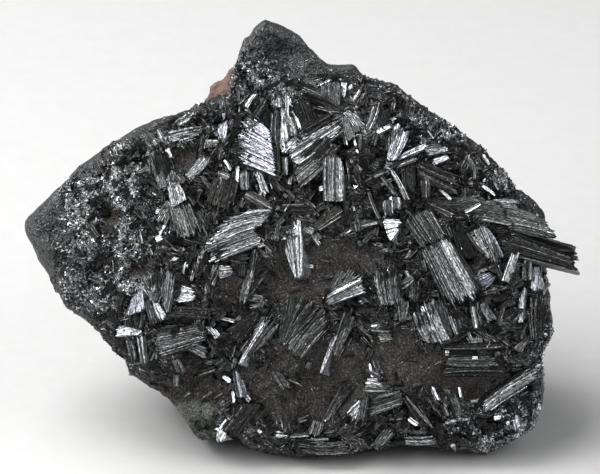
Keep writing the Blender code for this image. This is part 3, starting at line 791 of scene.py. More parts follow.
# %% Plates of the upper part
UPPER_PLATES = {
    "silver_lozenge": ((270, 132), (276, 177), (246, 113), (227, 157), 1.6, "lilac"),
    "lozenge_edge": ((280, 178), (280, 182), (242, 162), (240, 166), 1.1, "grey"),
    "black_ridge": ((270, 128), (277, 128), (274, 180), (281, 179), 2.4, "black"),
    # The black notch plate is painted shadow: a black sheet where the notch lies in shade.
    "notch_painted_shadow": ((261, 122), (271, 131), (268, 106), (272, 108), 0.9, "black"),
    "bright_column": ((273, 151), (280, 151), (271, 107), (280, 106), 1.9, "light"),
    "column_top": ((271, 108), (283, 108), (272, 96), (281, 97), 1.9, "silver", 0.15),
    "bright_triangle": ((281, 110), (284, 110), (281, 152), (292, 142), 2.0, "white"),
    "column_foot": ((281, 158), (288, 158), (282, 178), (288, 176), 1.4, "light"),
    "grey_point": ((285, 116), (292, 117), (292, 140), (298, 134), 1.7, "olive"),
    "left_crown": ((262, 120), (250, 117), (271, 104), (264, 98), 1.5, "dark"),
    "lilac_tab": ((219, 140), (226, 140), (219, 124), (229, 120), 0.9, "lilac"),
    "black_crown": ((304, 133), (318, 131), (289, 101), (312, 99), 1.6, "black"),
    "crown_side": ((343, 113), (348, 111), (357, 137), (369, 127), 1.3, "light"),
    "crown_low": ((339, 119), (346, 117), (341, 146), (357, 143), 1.0, "grey"),
    "middle_triangle": ((313, 122), (320, 130), (335, 113), (337, 118), 1.2, "grey"),
    "dark_top_sheaf": ((344, 110), (341, 116), (300, 84), (299, 108), 1.5, "dark"),
    "grey_plate": ((318, 99), (331, 99), (318, 86), (331, 81), 1.2, "grey"),
    "upright_blade": ((331, 106), (340, 106), (332, 83), (341, 81), 1.3, "grey"),
    "white_bud": ((340, 98), (345, 98), (340, 84), (347, 85), 1.6, "white", 0.1),
    "bud_lobe": ((346, 93), (349, 95), (350, 84), (354, 88), 1.4, "white"),
    "bud_blade": ((350, 103), (354, 104), (358, 90), (362, 92), 1.5, "white"),
    "long_sheaf": ((281, 137), (296, 168), (338, 112), (348, 128), 1.9, "light"),
    "sheaf_start": ((281, 150), (284, 155), (300, 131), (303, 135), 2.2, "white"),
    "long_sheaf_low": ((292, 163), (300, 190), (330, 133), (342, 152), 1.4, "grey"),
    "upright_sheaf": ((323, 202), (343, 202), (323, 150), (343, 152), 1.4, "light"),
    "pair_left": ((360, 134), (368, 134), (349, 112), (357, 112), 1.4, "grey"),
    "pair_right": ((364, 131), (371, 131), (374, 102), (382, 103), 1.5, "silver"),
    "speckled_fan": ((376, 125), (384, 127), (375, 108), (392, 110), 1.0, "dark"),
    "white_steps": ((375, 131), (377, 135), (389, 124), (391, 128), 1.2, "white"),
    "bright_fan": ((386, 161), (395, 161), (393, 124), (411, 131), 1.8, "lilac"),
    "blade_pair_high": ((396, 157), (397, 161), (423, 144), (426, 148), 1.7, "white"),
    "blade_pair_low": ((393, 166), (394, 170), (418, 156), (420, 160), 1.6, "silver"),
    "right_plate_high": ((424, 146), (424, 153), (441, 143), (442, 151), 1.3, "light"),
    "right_plate_middle": ((424, 150), (424, 157), (446, 146), (447, 152), 1.5, "silver"),
    "right_plate_low": ((431, 160), (432, 166), (446, 155), (448, 160), 1.4, "white"),
    "brown_blade": ((418, 160), (418, 178), (468, 180), (455, 199), 1.3, "brown"),
    "green_plate": ((419, 178), (429, 178), (420, 199), (429, 199), 0.9, "olive"),
    "dark_upright": ((400, 165), (414, 165), (402, 195), (415, 195), 0.9, "dark"),
    "steep_bright": ((387, 168), (392, 170), (405, 205), (411, 203), 1.6, "silver"),
    "steep_second": ((375, 172), (380, 174), (394, 198), (400, 196), 1.3, "light"),
    "bright_group": ((388, 197), (399, 197), (390, 210), (400, 210), 1.5, "white"),
    "grey_oblong": ((382, 201), (392, 200), (383, 217), (392, 217), 1.1, "light"),
    "chevron_high": ((478, 194), (479, 198), (455, 200), (457, 204), 1.4, "light"),
    "chevron_low": ((482, 197), (483, 203), (457, 205), (459, 211), 1.2, "light"),
    "crossed_left": ((160, 190), (171, 184), (147, 152), (158, 148), 2.0, "light"),
    "crossed_right": ((168, 184), (177, 181), (159, 151), (172, 150), 2.1, "light"),
    "crossed_node": ((187, 200), (173, 208), (180, 178), (167, 184), 2.3, "silver"),
    "crossed_low": ((168, 200), (187, 196), (178, 241), (204, 234), 1.8, "moss"),
    "crossed_side": ((168, 200), (174, 208), (156, 217), (166, 228), 0.9, "grey"),
    "shoulder_sheaf": ((186, 175), (192, 182), (203, 154), (212, 162), 1.2, "light"),
    "pale_arcs": ((168, 133), (170, 143), (203, 126), (206, 134), 0.8, "light"),
    "shoulder_block": ((200, 141), (200, 149), (220, 140), (220, 147), 0.6, "grey"),
    "brown_fan": ((215, 178), (240, 178), (205, 205), (232, 215), 0.9, "brown"),
    "short_column": ((241, 190), (250, 190), (240, 169), (249, 168), 1.2, "light"),
    "thin_column": ((255, 173), (261, 172), (264, 198), (270, 196), 1.2, "silver"),
    "dark_tongue": ((243, 198), (250, 190), (270, 213), (276, 205), 1.0, "brown"),
}

# %% Plates of the middle
MIDDLE_PLATES = {
    "silver_wing": ((273, 209), (262, 225), (223, 217), (203, 247), 2.0, "silver"),
    "grey_wing": ((252, 227), (263, 243), (204, 241), (211, 265), 1.2, "light"),
    "small_white_plate": ((219, 265), (220, 279), (232, 266), (234, 275), 0.9, "light"),
    "left_plume": ((247, 270), (255, 270), (238, 302), (245, 308), 0.9, "grey"),
    "left_plume_dark": ((252, 248), (263, 250), (248, 288), (256, 290), 0.7, "dark"),
    "white_tooth": ((294, 278), (302, 276), (283, 208), (303, 223), 2.2, "white"),
    "dark_bar": ((280, 205), (280, 213), (314, 204), (315, 212), 1.0, "dark"),
    "brown_pit_fan": ((312, 225), (318, 231), (338, 202), (345, 214), 0.7, "brown"),
    "white_chip": ((381, 219), (389, 241), (401, 220), (396, 234), 1.5, "white"),
    "grey_bar": ((349, 222), (350, 231), (376, 218), (378, 226), 0.9, "grey"),
    "great_fan_top": ((402, 222), (430, 208), (424, 252), (446, 236), 1.6, "moss"),
    "great_fan": ((419, 249), (447, 236), (447, 309), (480, 294), 2.1, "light"),
    "dark_plates": ((420, 196), (424, 206), (455, 205), (456, 226), 1.0, "brown"),
    # The black plate in the fan hollow is painted shade: a black sheet in the dark gap between the fans.
    "fan_hollow_painted_shade": ((451, 235), (463, 231), (462, 262), (478, 257), 1.2, "black"),
    "blue_fan": ((466, 232), (482, 224), (482, 254), (500, 270), 1.7, "grey"),
    "blue_fan_face": ((482, 225), (488, 230), (496, 268), (503, 258), 1.8, "blue"),
    "blue_block": ((470, 277), (484, 288), (488, 271), (496, 277), 1.2, "blue"),
    "pale_block": ((492, 200), (490, 206), (517, 199), (519, 210), 1.5, "silver"),
    "shelf_lip_left": ((432, 197), (440, 216), (500, 204), (512, 226), 1.5, "moss"),
    "shelf_lip_right": ((496, 205), (506, 229), (543, 220), (556, 239), 1.6, "olive"),
    "shelf": ((495, 225), (502, 253), (567, 254), (577, 272), 0.6, "dark"),
    "grey_upright": ((520, 280), (530, 280), (521, 258), (530, 258), 1.2, "light"),
    "lilac_upright": ((530, 290), (537, 290), (531, 264), (539, 264), 1.3, "lilac"),
    "edge_blade": ((516, 322), (523, 322), (519, 285), (526, 286), 1.4, "silver"),
    "edge_dark_fan": ((530, 340), (540, 338), (525, 292), (546, 295), 0.8, "dark"),
    "grey_fan": ((380, 304), (397, 304), (372, 272), (396, 264), 1.4, "light"),
    "small_grey_fan": ((399, 321), (404, 321), (396, 296), (410, 298), 1.0, "grey"),
    "upper_small_fan": ((408, 300), (418, 301), (406, 280), (421, 279), 0.9, "grey"),
    "side_fan": ((363, 325), (366, 329), (389, 316), (392, 333), 1.2, "grey"),
    "side_fan_low": ((375, 331), (380, 341), (391, 332), (392, 340), 1.0, "grey"),
    "lilac_fan_left": ((424, 342), (437, 341), (408, 312), (420, 305), 1.4, "light"),
    "lilac_fan": ((437, 343), (452, 335), (421, 304), (434, 293), 1.8, "silver"),
    "lilac_fan_right": ((453, 334), (456, 333), (441, 302), (446, 304), 1.7, "silver"),
    "lilac_fan_side": ((456, 331), (463, 323), (449, 304), (458, 307), 1.0, "blue"),
    "bright_post": ((472, 328), (477, 327), (468, 304), (472, 302), 1.6, "white"),
    "post_fan": ((478, 304), (484, 301), (487, 322), (496, 319), 1.1, "light"),
    "oval_fan": ((278, 342), (288, 343), (285, 291), (320, 303), 1.8, "moss", 0.06),
    "under_sheaf": ((287, 345), (300, 358), (321, 303), (331, 320), 1.3, "grey"),
    "needle_right": ((320, 371), (322, 371), (345, 303), (351, 304), 1.8, "white"),
    "needle_flank": ((331, 350), (336, 357), (349, 305), (355, 322), 1.2, "olive"),
    "left_sheaf": ((225, 330), (240, 343), (255, 309), (262, 316), 1.3, "dark"),
    "needle_left": ((238, 363), (241, 364), (267, 310), (274, 313), 1.6, "white"),
    "needle_left_dull": ((245, 358), (262, 345), (276, 314), (281, 324), 1.0, "olive"),
    "bright_sheaf": ((322, 297), (328, 305), (361, 276), (366, 292), 1.8, "grey"),
    "sheaf_plume": ((328, 292), (338, 296), (340, 266), (358, 270), 1.0, "grey"),
    "olive_blade": ((163, 303), (169, 313), (157, 266), (178, 270), 1.8, "light"),
    "olive_face": ((153, 300), (160, 298), (141, 284), (157, 267), 1.7, "light"),
    "lilac_patch": ((126, 316), (146, 309), (134, 295), (143, 286), 1.4, "lilac"),
    "pendant_blades": ((146, 300), (155, 300), (153, 327), (162, 325), 1.5, "grey"),
    "pendant_white": ((153, 298), (158, 301), (161, 322), (169, 317), 1.8, "white"),
    "small_white_fan": ((179, 284), (176, 302), (194, 289), (199, 299), 1.5, "white"),
    "brown_sheaf": ((169, 306), (168, 317), (217, 308), (216, 320), 0.9, "brown"),
    "grey_great_fan": ((157, 326), (160, 357), (202, 321), (209, 340), 1.5, "grey"),
    "fan_bright_end": ((184, 337), (187, 343), (205, 329), (207, 337), 1.9, "white"),
    "three_points": ((183, 338), (186, 348), (212, 348), (206, 359), 1.6, "light"),
}

# %% Plates of the foot
LOWER_PLATES = {
    "white_bar": ((142, 328), (143, 335), (115, 326), (116, 336), 1.4, "white"),
    "hanging_blades": ((138, 335), (147, 335), (144, 368), (150, 366), 1.4, "silver"),
    "hanging_grey": ((127, 340), (135, 339), (132, 362), (139, 359), 1.1, "light"),
    "hanging_dark": ((117, 338), (126, 340), (124, 354), (130, 354), 0.9, "dark"),
    "small_blade_high": ((172, 359), (180, 358), (178, 373), (187, 372), 0.9, "grey"),
    "small_blade_low": ((173, 375), (181, 374), (174, 386), (180, 386), 0.9, "light"),
    "corner_block": ((239, 403), (263, 403), (220, 430), (238, 434), 1.2, "dark"),
    "corner_end": ((219, 428), (227, 434), (216, 440), (223, 441), 1.3, "white"),
    "lilac_post": ((238, 398), (243, 395), (232, 367), (237, 366), 1.5, "lilac"),
    "pit_fan": ((271, 370), (280, 371), (281, 389), (293, 388), 0.9, "grey"),
    "slanting_sheaf": ((320, 421), (330, 419), (340, 381), (352, 384), 1.3, "olive"),
    "foot_pad": ((313, 419), (324, 421), (307, 433), (320, 437), 1.2, "olive", 0.1),
    "foot_slab": ((345, 440), (349, 452), (300, 440), (297, 451), 0.9, "grey"),
    "foot_fan": ((366, 379), (363, 391), (392, 385), (395, 391), 1.4, "light"),
    "foot_block": ((400, 389), (402, 403), (371, 397), (366, 416), 1.1, "grey"),
    "foot_streaks": ((359, 399), (362, 402), (344, 412), (354, 420), 1.4, "white"),
    "streak_flank": ((362, 396), (369, 393), (355, 420), (366, 421), 0.9, "olive"),
    "wedge_blade": ((371, 360), (377, 359), (378, 376), (384, 373), 0.9, "dark"),
    "foot_blades": ((386, 425), (394, 431), (369, 447), (377, 449), 0.9, "grey"),
    "foot_ledge": ((404, 436), (405, 444), (438, 434), (440, 444), 0.7, "light"),
    "small_post": ((453, 417), (462, 414), (443, 391), (453, 389), 1.1, "olive"),
    "corner_sheaf": ((481, 400), (484, 413), (538, 361), (542, 375), 1.6, "light"),
    "foot_brown_fan": ((402, 398), (410, 395), (420, 428), (434, 428), 0.6, "brown"),
    "ledge_high": ((444, 343), (444, 349), (505, 340), (507, 348), 0.7, "dark"),
    "ledge_black": ((446, 350), (446, 356), (475, 349), (477, 356), 0.4, "black"),
    "ledge_middle": ((446, 356), (446, 365), (500, 355), (502, 366), 0.8, "moss"),
    "ledge_low": ((442, 367), (442, 376), (500, 364), (503, 376), 0.5, "dark"),
}
THICK_PLATES = {"shelf": 3.2, "shelf_lip_left": 1.6, "shelf_lip_right": 1.8, "corner_block": 2.4}
BLOCK_WIDTH = 1.3  # mm, the groups of these thick plates

# %% Grow the main plates
UNDER_WIDTH = 1.2  # mm, the narrowest plate that has a darker one under it
UNDER_SINK = 0.5  # mm that the darker one lies deeper
UNDER_SWING = (0.05, 0.13)  # radians that it is turned, at least and at most
UNDER_LENGTH = (0.88, 1.0)  # its length, against the plate's
THICK_RAGGEDNESS = 0.4
PLATES = {**UPPER_PLATES, **MIDDLE_PLATES, **LOWER_PLATES}
plate_corners = {name: [on_face_at(*corner) for corner in plate[:4]] for name, plate in PLATES.items()}
plate_planes = {}
main_rows = []
main_chance = random.Random(11)
for name, plate in PLATES.items():
    corners = plate_corners[name]
    stand_off, finish = plate[4:6]
    crown = plate[6] if len(plate) > 6 else 0.0
    thick = THICK_PLATES.get(name, PLATE_THICKNESS)
    ragged = THICK_RAGGEDNESS if name in THICK_PLATES else 1.0
    group_width = BLOCK_WIDTH if name in THICK_PLATES else GROUP_WIDTH
    plate_planes[name] = grow_plate(
        main_rows, main_chance, corners, stand_off, finish, crown, thick, 0.0, ragged, group_width)
    if (corners[1] - corners[0]).length > UNDER_WIDTH or (corners[3] - corners[2]).length > UNDER_WIDTH:
        # The plate underneath gets a darker finish, painted shade under the upper plate.
        swing = main_chance.choice((-1.0, 1.0)) * main_chance.uniform(*UNDER_SWING)
        under = swung(corners, swing, main_chance.uniform(*UNDER_LENGTH))
        grow_plate(main_rows, main_chance, under, stand_off, DARKER[finish], crown, thick, sink=UNDER_SINK)
main_sprays = mesh_of_laths("main_sprays", main_rows)

# %% [markdown]
# ## Single blades and bright edges
# Between the plates lie narrow single blades, lit edges and short steps that catch the light; the white
# and silver colour of most of them is a painted highlight. Each is a strip of a few laths: its two ends and
# its widths there, all in picture points, then its stand-off in mm and its finish.

# %% Strips
STRIPS = {
    "column_line": ((287, 117), (287, 95), 3, 4, 1.6, "white"),
    "slanting_needle": ((289, 100), (300, 130), 3, 3, 2.0, "white"),
    "crown_edge": ((250, 115), (264, 98), 2, 2, 1.8, "silver"),
    "tab_blade": ((225, 160), (231, 170), 3, 3, 1.0, "white"),
    "tab_blade_low": ((238, 167), (237, 183), 3, 3, 1.1, "white"),
    "curved_line": ((270, 184), (275, 203), 2, 2, 1.0, "silver"),
    "brown_fan_line_a": ((217, 180), (209, 196), 3, 2, 1.1, "silver"),
    "brown_fan_line_b": ((221, 178), (213, 200), 2, 2, 1.1, "silver"),
    "brown_fan_line_c": ((230, 185), (219, 204), 3, 3, 1.2, "white"),
    "brown_fan_line_d": ((232, 184), (222, 209), 2, 2, 1.1, "silver"),
    "brown_fan_line_e": ((234, 195), (227, 207), 2, 2, 1.1, "silver"),
    "top_sheaf_line_a": ((342, 111), (302, 90), 1.5, 2, 1.8, "light"),
    "top_sheaf_line_b": ((342, 113), (303, 104), 1.5, 2, 1.8, "light"),
    "grey_plate_edge": ((318, 86), (331, 80), 2, 2, 1.5, "white"),
    "thin_upright": ((352, 132), (357, 154), 2, 2, 1.0, "white"),
    "thin_slope": ((368, 192), (379, 219), 3, 3, 1.0, "light"),
    "bar_edge_left": ((340, 236), (350, 229), 3, 3, 1.0, "silver"),
    "bar_edge_right": ((350, 229), (378, 222), 3, 3, 1.1, "silver"),
    "pit_curl": ((305, 209), (309, 217), 2, 2, 1.1, "white"),
    "pit_fleck": ((308, 266), (313, 266), 3, 3, 0.5, "white"),
    "sheaf_blobs": ((319, 189), (325, 188), 5, 5, 1.6, "white"),
    "sheaf_blobs_low": ((330, 198), (330, 187), 4, 4, 1.6, "white"),
    "brown_streak": ((437, 188), (450, 200), 3, 3, 1.5, "white"),
    "chevron_edge": ((464, 212), (480, 203), 3, 3, 1.3, "white"),
    "fan_step": ((428, 250), (432, 260), 4, 4, 2.3, "white"),
    "fan_edge": ((448, 239), (478, 291), 2, 2, 2.3, "silver"),
    "fan_line": ((440, 240), (470, 297), 2, 2, 2.4, "silver"),
    "fan_line_left": ((431, 262), (446, 296), 1.5, 1.5, 2.4, "silver"),
    "blue_fan_edge": ((466, 233), (483, 255), 2, 2, 1.9, "silver"),
    "blue_fan_line": ((470, 231), (489, 258), 2, 2, 1.9, "silver"),
    "right_needle": ((502, 280), (512, 252), 2.5, 2.5, 1.3, "white"),
    "right_needle_grey": ((507, 280), (517, 252), 2, 2, 1.3, "silver"),
    "right_strip": ((521, 265), (526, 252), 2, 2, 1.3, "silver"),
    "right_fleck": ((526, 251), (530, 247), 5, 5, 1.3, "white"),
    "edge_flecks": ((540, 290), (548, 282), 4, 4, 0.9, "light"),
    "edge_shine": ((531, 288), (535, 265), 4, 5, 1.8, "white"),
    "post_side_a": ((480, 323), (479, 305), 2.5, 2, 1.3, "silver"),
    "post_side_b": ((487, 322), (482, 305), 2.5, 2, 1.3, "light"),
    "upper_fleck_a": ((465, 170), (467, 155), 3, 3, 0.8, "silver"),
    "upper_fleck_b": ((474, 180), (474, 165), 3, 3, 0.8, "silver"),
    "upper_fleck_c": ((488, 165), (482, 155), 3, 3, 0.8, "silver"),
    "upper_fleck_d": ((432, 140), (426, 131), 3, 3, 0.8, "silver"),
    "upper_fleck_e": ((498, 190), (492, 178), 3, 3, 0.8, "light"),
    "sheaf_edge_a": ((330, 300), (365, 288), 2.0, 2.0, 2.1, "silver"),
    "sheaf_edge_b": ((332, 303), (365, 291), 2.5, 2.5, 2.2, "silver"),
    "sheaf_edge_c": ((323, 298), (362, 277), 2, 2, 2.1, "white"),
    "side_fan_edge": ((376, 324), (365, 326), 2.5, 2, 1.5, "white"),
    "side_fan_foot": ((381, 340), (392, 339), 2.5, 2.5, 1.3, "white"),
    "zigzag": ((410, 280), (405, 270), 4, 4, 1.3, "white"),
    "wedge_edge": ((372, 376), (369, 363), 3, 2, 1.2, "white"),
    "foot_fan_top": ((367, 379), (377, 379), 3, 3, 1.6, "silver"),
    "lilac_line_a": ((420, 322), (413, 312), 2, 2, 1.8, "white"),
    "lilac_line_b": ((431, 330), (420, 305), 3, 3, 2.0, "white"),
    "ledge_fleck": ((444, 352), (448, 352), 5, 5, 0.8, "white"),
    "ledge_arc": ((471, 357), (477, 357), 2.5, 2.5, 1.0, "white"),
    "ledge_fleck_far": ((483, 337), (486, 339), 3, 3, 0.8, "white"),
    "post_splinter": ((503, 331), (506, 325), 2, 2, 0.8, "white"),
    "crust_fleck_left": ((157, 211), (163, 212), 5, 5, 1.0, "white"),
    "crust_blob": ((157, 240), (163, 237), 6, 6, 1.2, "white"),
    "crust_line": ((161, 235), (168, 222), 2, 3, 1.1, "silver"),
    "crossed_tip": ((171, 158), (168, 149), 4, 4, 1.7, "white"),
    "post_fleck_left": ((224, 375), (231, 381), 4, 4, 1.0, "white"),
    "post_line": ((246, 390), (243, 378), 3, 3, 1.2, "silver"),
    "post_foot": ((244, 393), (250, 400), 4, 4, 1.2, "silver"),
    "post_splinter_low": ((234, 402), (233, 390), 2.5, 2.5, 1.0, "white"),
    "corner_line_a": ((227, 418), (220, 428), 2, 2, 1.5, "white"),
    "corner_line_b": ((257, 404), (238, 430), 1.5, 1.5, 1.6, "light"),
    "corner_line_c": ((249, 404), (231, 430), 1.5, 1.5, 1.6, "light"),
    "corner_end_line": ((216, 427), (226, 434), 3, 3, 1.6, "white"),
    "foot_fleck": ((258, 429), (261, 432), 3, 3, 0.8, "white"),
    "sheaf_side_line": ((346, 396), (355, 385), 2, 2, 1.0, "light"),
    "foot_bright": ((437, 399), (431, 386), 4, 4, 1.0, "white"),
    "foot_thin": ((460, 396), (458, 386), 2, 2, 0.9, "white"),
    "hollow_fleck": ((470, 401), (478, 399), 3, 3, 0.8, "light"),
    "corner_edge": ((481, 400), (513, 382), 4, 3, 1.9, "white"),
    "corner_edge_far": ((513, 382), (540, 363), 2, 2, 1.8, "silver"),
    "foot_white": ((408, 417), (417, 424), 4, 4, 0.9, "white"),
    "foot_white_low": ((420, 427), (426, 429), 3, 3, 0.9, "white"),
    "foot_line_a": ((405, 395), (430, 425), 1.5, 1.5, 0.9, "light"),
    "foot_line_b": ((417, 405), (432, 428), 2, 2, 0.9, "light"),
    "post_flecks": ((444, 423), (456, 420), 4, 4, 0.8, "silver"),
    "rim_fleck": ((450, 445), (454, 443), 4, 4, 0.5, "white"),
    "crust_white_a": ((493, 417), (499, 416), 5, 5, 0.9, "white"),
    "crust_white_b": ((505, 422), (508, 421), 4, 4, 0.9, "white"),
    "crust_white_c": ((514, 414), (516, 428), 5, 6, 0.9, "lilac"),
    "crust_white_d": ((536, 403), (539, 410), 4, 4, 0.6, "white"),
    "slab_top": ((290, 435), (308, 434), 4, 4, 0.8, "grey"),
    "slab_line": ((305, 438), (330, 438), 2, 2, 1.1, "light"),
    "wing_fleck": ((258, 246), (264, 244), 3, 3, 1.3, "white"),
}


def strip_corners(start_at, end_at, start_width, end_width):
    start = on_face_at(*start_at)
    end = on_face_at(*end_at)
    across = INTO_ORE.cross((end - start).normalized()) / POINTS_A_MM / 2.0
    return [start - across * start_width, start + across * start_width,
            end - across * end_width, end + across * end_width]


# %% Grow the strips
STRIP_THICKNESS = 0.4  # mm
STRIP_RAGGEDNESS = 0.6
strip_rows = []
strip_chance = random.Random(23)
for start_at, end_at, start_width, end_width, stand_off, finish in STRIPS.values():
    corners = strip_corners(start_at, end_at, start_width, end_width)
    grow_plate(strip_rows, strip_chance, corners, stand_off, finish, thickness=STRIP_THICKNESS,
               ragged=STRIP_RAGGEDNESS)
strips = mesh_of_laths("single_blades", strip_rows)

# %% [markdown]
# ## Small plates in between
# The rest of the face is a tangle of small dark plates. They grew in bunches, so neighbours point about
# the same way. Their places are random, but only where the ore isn't smooth or sooty and never across a
# main plate.


# %% Bunches
def bunches(places, size, salt):
    """For every place a random vector, from -0.5 to 0.5, that it shares with the rest of its bunch."""
    seeds = [noise.voronoi(place)[1][0] for place in (places / size).tolist()]
    return np.array([noise.cell_vector(seed * salt) for seed in seeds]) - 0.5


# %% Small plates
SMALL_PLATES = 950
TRIES = 8  # places looked at for each small plate, at most
SOOTY_LOSS, CRUSTY_LOSS = 0.93, 0.6  # share of the small plates that soot and crust leave out
SMALL_BUNCH = 4.5  # mm across
BUSY_AREA = (-34.0, 41.0, 2.0, 62.0)  # lowest and highest u, then w, in mm
SMALL_FINISHES = ("black", "dark", "grey", "moss", "brown", "light", "silver", "white")
SMALL_SHARES = (24, 44, 12, 10, 8, 1.5, 0.5, 0.2)
SMALL_LENGTHS = (0.9, 3.6)  # mm, at least and at most
SMALL_WIDTHS = (0.25, 1.1)
SMALL_SPREADS = (0.5, 1.5)  # width of the far edge, against the root's
SMALL_STAND_OFFS = (-0.2, 0.5)  # mm
SMALL_THICKNESS = 0.3
SMALL_RAGGEDNESS = 2.8
SMALL_TURN = 0.45  # radians by which they turn away from their bunch
ROOT_MARGIN, TIP_MARGIN = 2.0, 1.2  # mm that roots and tips stay inside the outline
HEADING_SALT = 17.0  # picks the bunches' directions


def zone_share(at_u, at_w):
    """The crust, soot and smoothness of the ore at a point of the face."""
    place = np.array([[at_u, 0.0, at_w]])
    rough = np.zeros(1)
    return (oval_zone(CRUST_OVALS, place, rough)[0], oval_zone(SOOT_OVALS, place, rough)[0],
            oval_zone(SMOOTH_OVALS, place, rough)[0])


def under_plate(at_u, at_w):
    """Whether a point of the face lies under one of the main plates."""
    for corners in plate_corners.values():
        ring = [corners[0], corners[1], corners[3], corners[2]]
        sides = [(end.x - start.x) * (at_w - start.z) - (end.z - start.z) * (at_u - start.x)
                 for start, end in zip(ring, ring[1:] + ring[:1])]
        if min(sides) >= 0.0 or max(sides) <= 0.0:
            return True
    return False


def inside_outline(at_u, at_w, margin):
    far = math.hypot(at_u - MIDDLE[0], at_w - MIDDLE[1])
    edge = np.interp(math.atan2(at_w - MIDDLE[1], at_u - MIDDLE[0]), angles, reaches, period=math.tau)
    return far < edge - margin


# %% Grow the small plates
small_rows = []
small_chance = random.Random(37)
grown = 0
for _ in range(SMALL_PLATES * TRIES):
    if grown >= SMALL_PLATES:
        break
    at_u, at_w = small_chance.uniform(*BUSY_AREA[:2]), small_chance.uniform(*BUSY_AREA[2:])
    crusty, sooty, smoothish = zone_share(at_u, at_w)
    wanted = (1.0 - SOOTY_LOSS * sooty) * (1.0 - CRUSTY_LOSS * crusty) * (1.0 - smoothish)
    if small_chance.random() > wanted:
        continue
    if not inside_outline(at_u, at_w, ROOT_MARGIN) or under_plate(at_u, at_w):
        continue
    way = bunches(np.array([[at_u, 0.0, at_w]]), SMALL_BUNCH, HEADING_SALT)[0]
    heading = math.atan2(way[2], way[0]) + small_chance.gauss(0.0, SMALL_TURN)
    length = small_chance.uniform(*SMALL_LENGTHS)
    wide = small_chance.uniform(*SMALL_WIDTHS)
    finish = small_chance.choices(SMALL_FINISHES, SMALL_SHARES)[0]
    if crusty > 0.5:
        finish = DARKER[finish]
    start = Vector((at_u, 0.0, at_w))
    step = Vector((math.cos(heading), 0.0, math.sin(heading)))
    end = start + step * length
    if not inside_outline(end.x, end.z, TIP_MARGIN) or under_plate(*(start + step * 0.7 * length).xz):
        continue
    side = INTO_ORE.cross(step) * wide / 2.0
    spread = small_chance.uniform(*SMALL_SPREADS)
    corners = [start - side, start + side, end - side * spread, end + side * spread]
    grow_plate(small_rows, small_chance, corners, small_chance.uniform(*SMALL_STAND_OFFS), finish,
               thickness=SMALL_THICKNESS, ragged=SMALL_RAGGEDNESS)
    grown += 1
small_sprays = mesh_of_laths("small_sprays", small_rows)
print(grown, "small plates")

# %% [markdown]
# ## Crust grains
# The glittering crust is a skin of fine crystals, a fraction of a millimetre across. One is a pyramid on
# three sides, which has only four faces; thousands of copies sit on the ore's own points, each leaning its
# own way. Most are dark; the bright ones, which stand in clusters, are painted glints, and wider patches
# are duller or brighter.

# %% Model one grain
CRYSTAL_DEPTH = 0.8
start_alone()
bpy.ops.mesh.primitive_cone_add(vertices=3, radius1=0.55, depth=CRYSTAL_DEPTH, location=(0.0, 0.0, 0.0))
crystal = bpy.context.object
crystal_points = np.array([point.co for point in crystal.data.vertices])
crystal_faces = np.array([list(face.vertices) for face in crystal.data.polygons])
bpy.data.objects.remove(crystal)
print("grain:", len(crystal_faces), "faces")


# %% Looks of the grains
GRAIN_LEAN = 0.5
GRAIN_RISE = 0.15  # how far a grain's middle stands in front of the ore, against its size
GRAIN_STRETCH = (0.5, 0.8)  # least size of a side against the grain's, and how much larger it may be
SIZE_BIAS = 2.5  # the higher, the fewer large grains
SCATTER = 0.08  # mm by which grains lie beside the ore's own points
GLOSS_START, GLOSS_SPAN = 0.16, 0.2  # roughness of the glossiest grain, and how much more the dullest has
BRIGHTEST = 0.95
GLINT_CLUSTER_SIZE = 1.7  # mm
GLINT_CLUSTER_CONTRAST = 3.2
PATCH_SIZE = 5.5  # mm, of the duller and the brighter patches
PATCH_CONTRAST = 1.6
LEFT_BRIGHTENING_EDGE = -18.0  # u in mm, to the left of which the crust grains are brighter
LEFT_BRIGHTENING = 1.1


def frames(axis, guide):
    """Rotation matrices whose third column is the axis and whose second column points to the guide."""
    axis = unit(axis)
    side = unit(np.cross(guide, axis))
    return np.stack([side, np.cross(axis, side), axis], axis=-1)


def grains_at(name, chance, places, outward, size, tones, tone_shares, strength):
    """A grain at every place, leaning about its outward direction. tones are the finishes that they take."""
    count = len(places)
    sides = GRAIN_STRETCH[0] + GRAIN_STRETCH[1] * chance.random((count, 3))
    local = crystal_points[None] * (size[:, None] * sides)[:, None]
    lean = outward + GRAIN_LEAN * chance.normal(size=(count, 3))
    points = np.einsum("nij,nkj->nki", frames(lean, chance.normal(size=(count, 3))), local)
    points += (places + outward * (size * GRAIN_RISE)[:, None])[:, None]
    picked = chance.choice(len(tones), size=count, p=np.array(tone_shares) / sum(tone_shares))
    strength = strength * (0.6 + 0.6 * chance.random(count))
    colours = np.array([FINISHES_WITH_PAINTED_LIGHT[tone][0] for tone in tones])[picked] * strength[:, None]
    colours = np.minimum(colours, BRIGHTEST)
    gloss = GLOSS_START + GLOSS_SPAN * chance.random(count)
    across = local[..., 0] + np.arange(count)[:, None]
    return mesh_of_copies(name, points, crystal_faces, colours, gloss, across, local[..., 2])


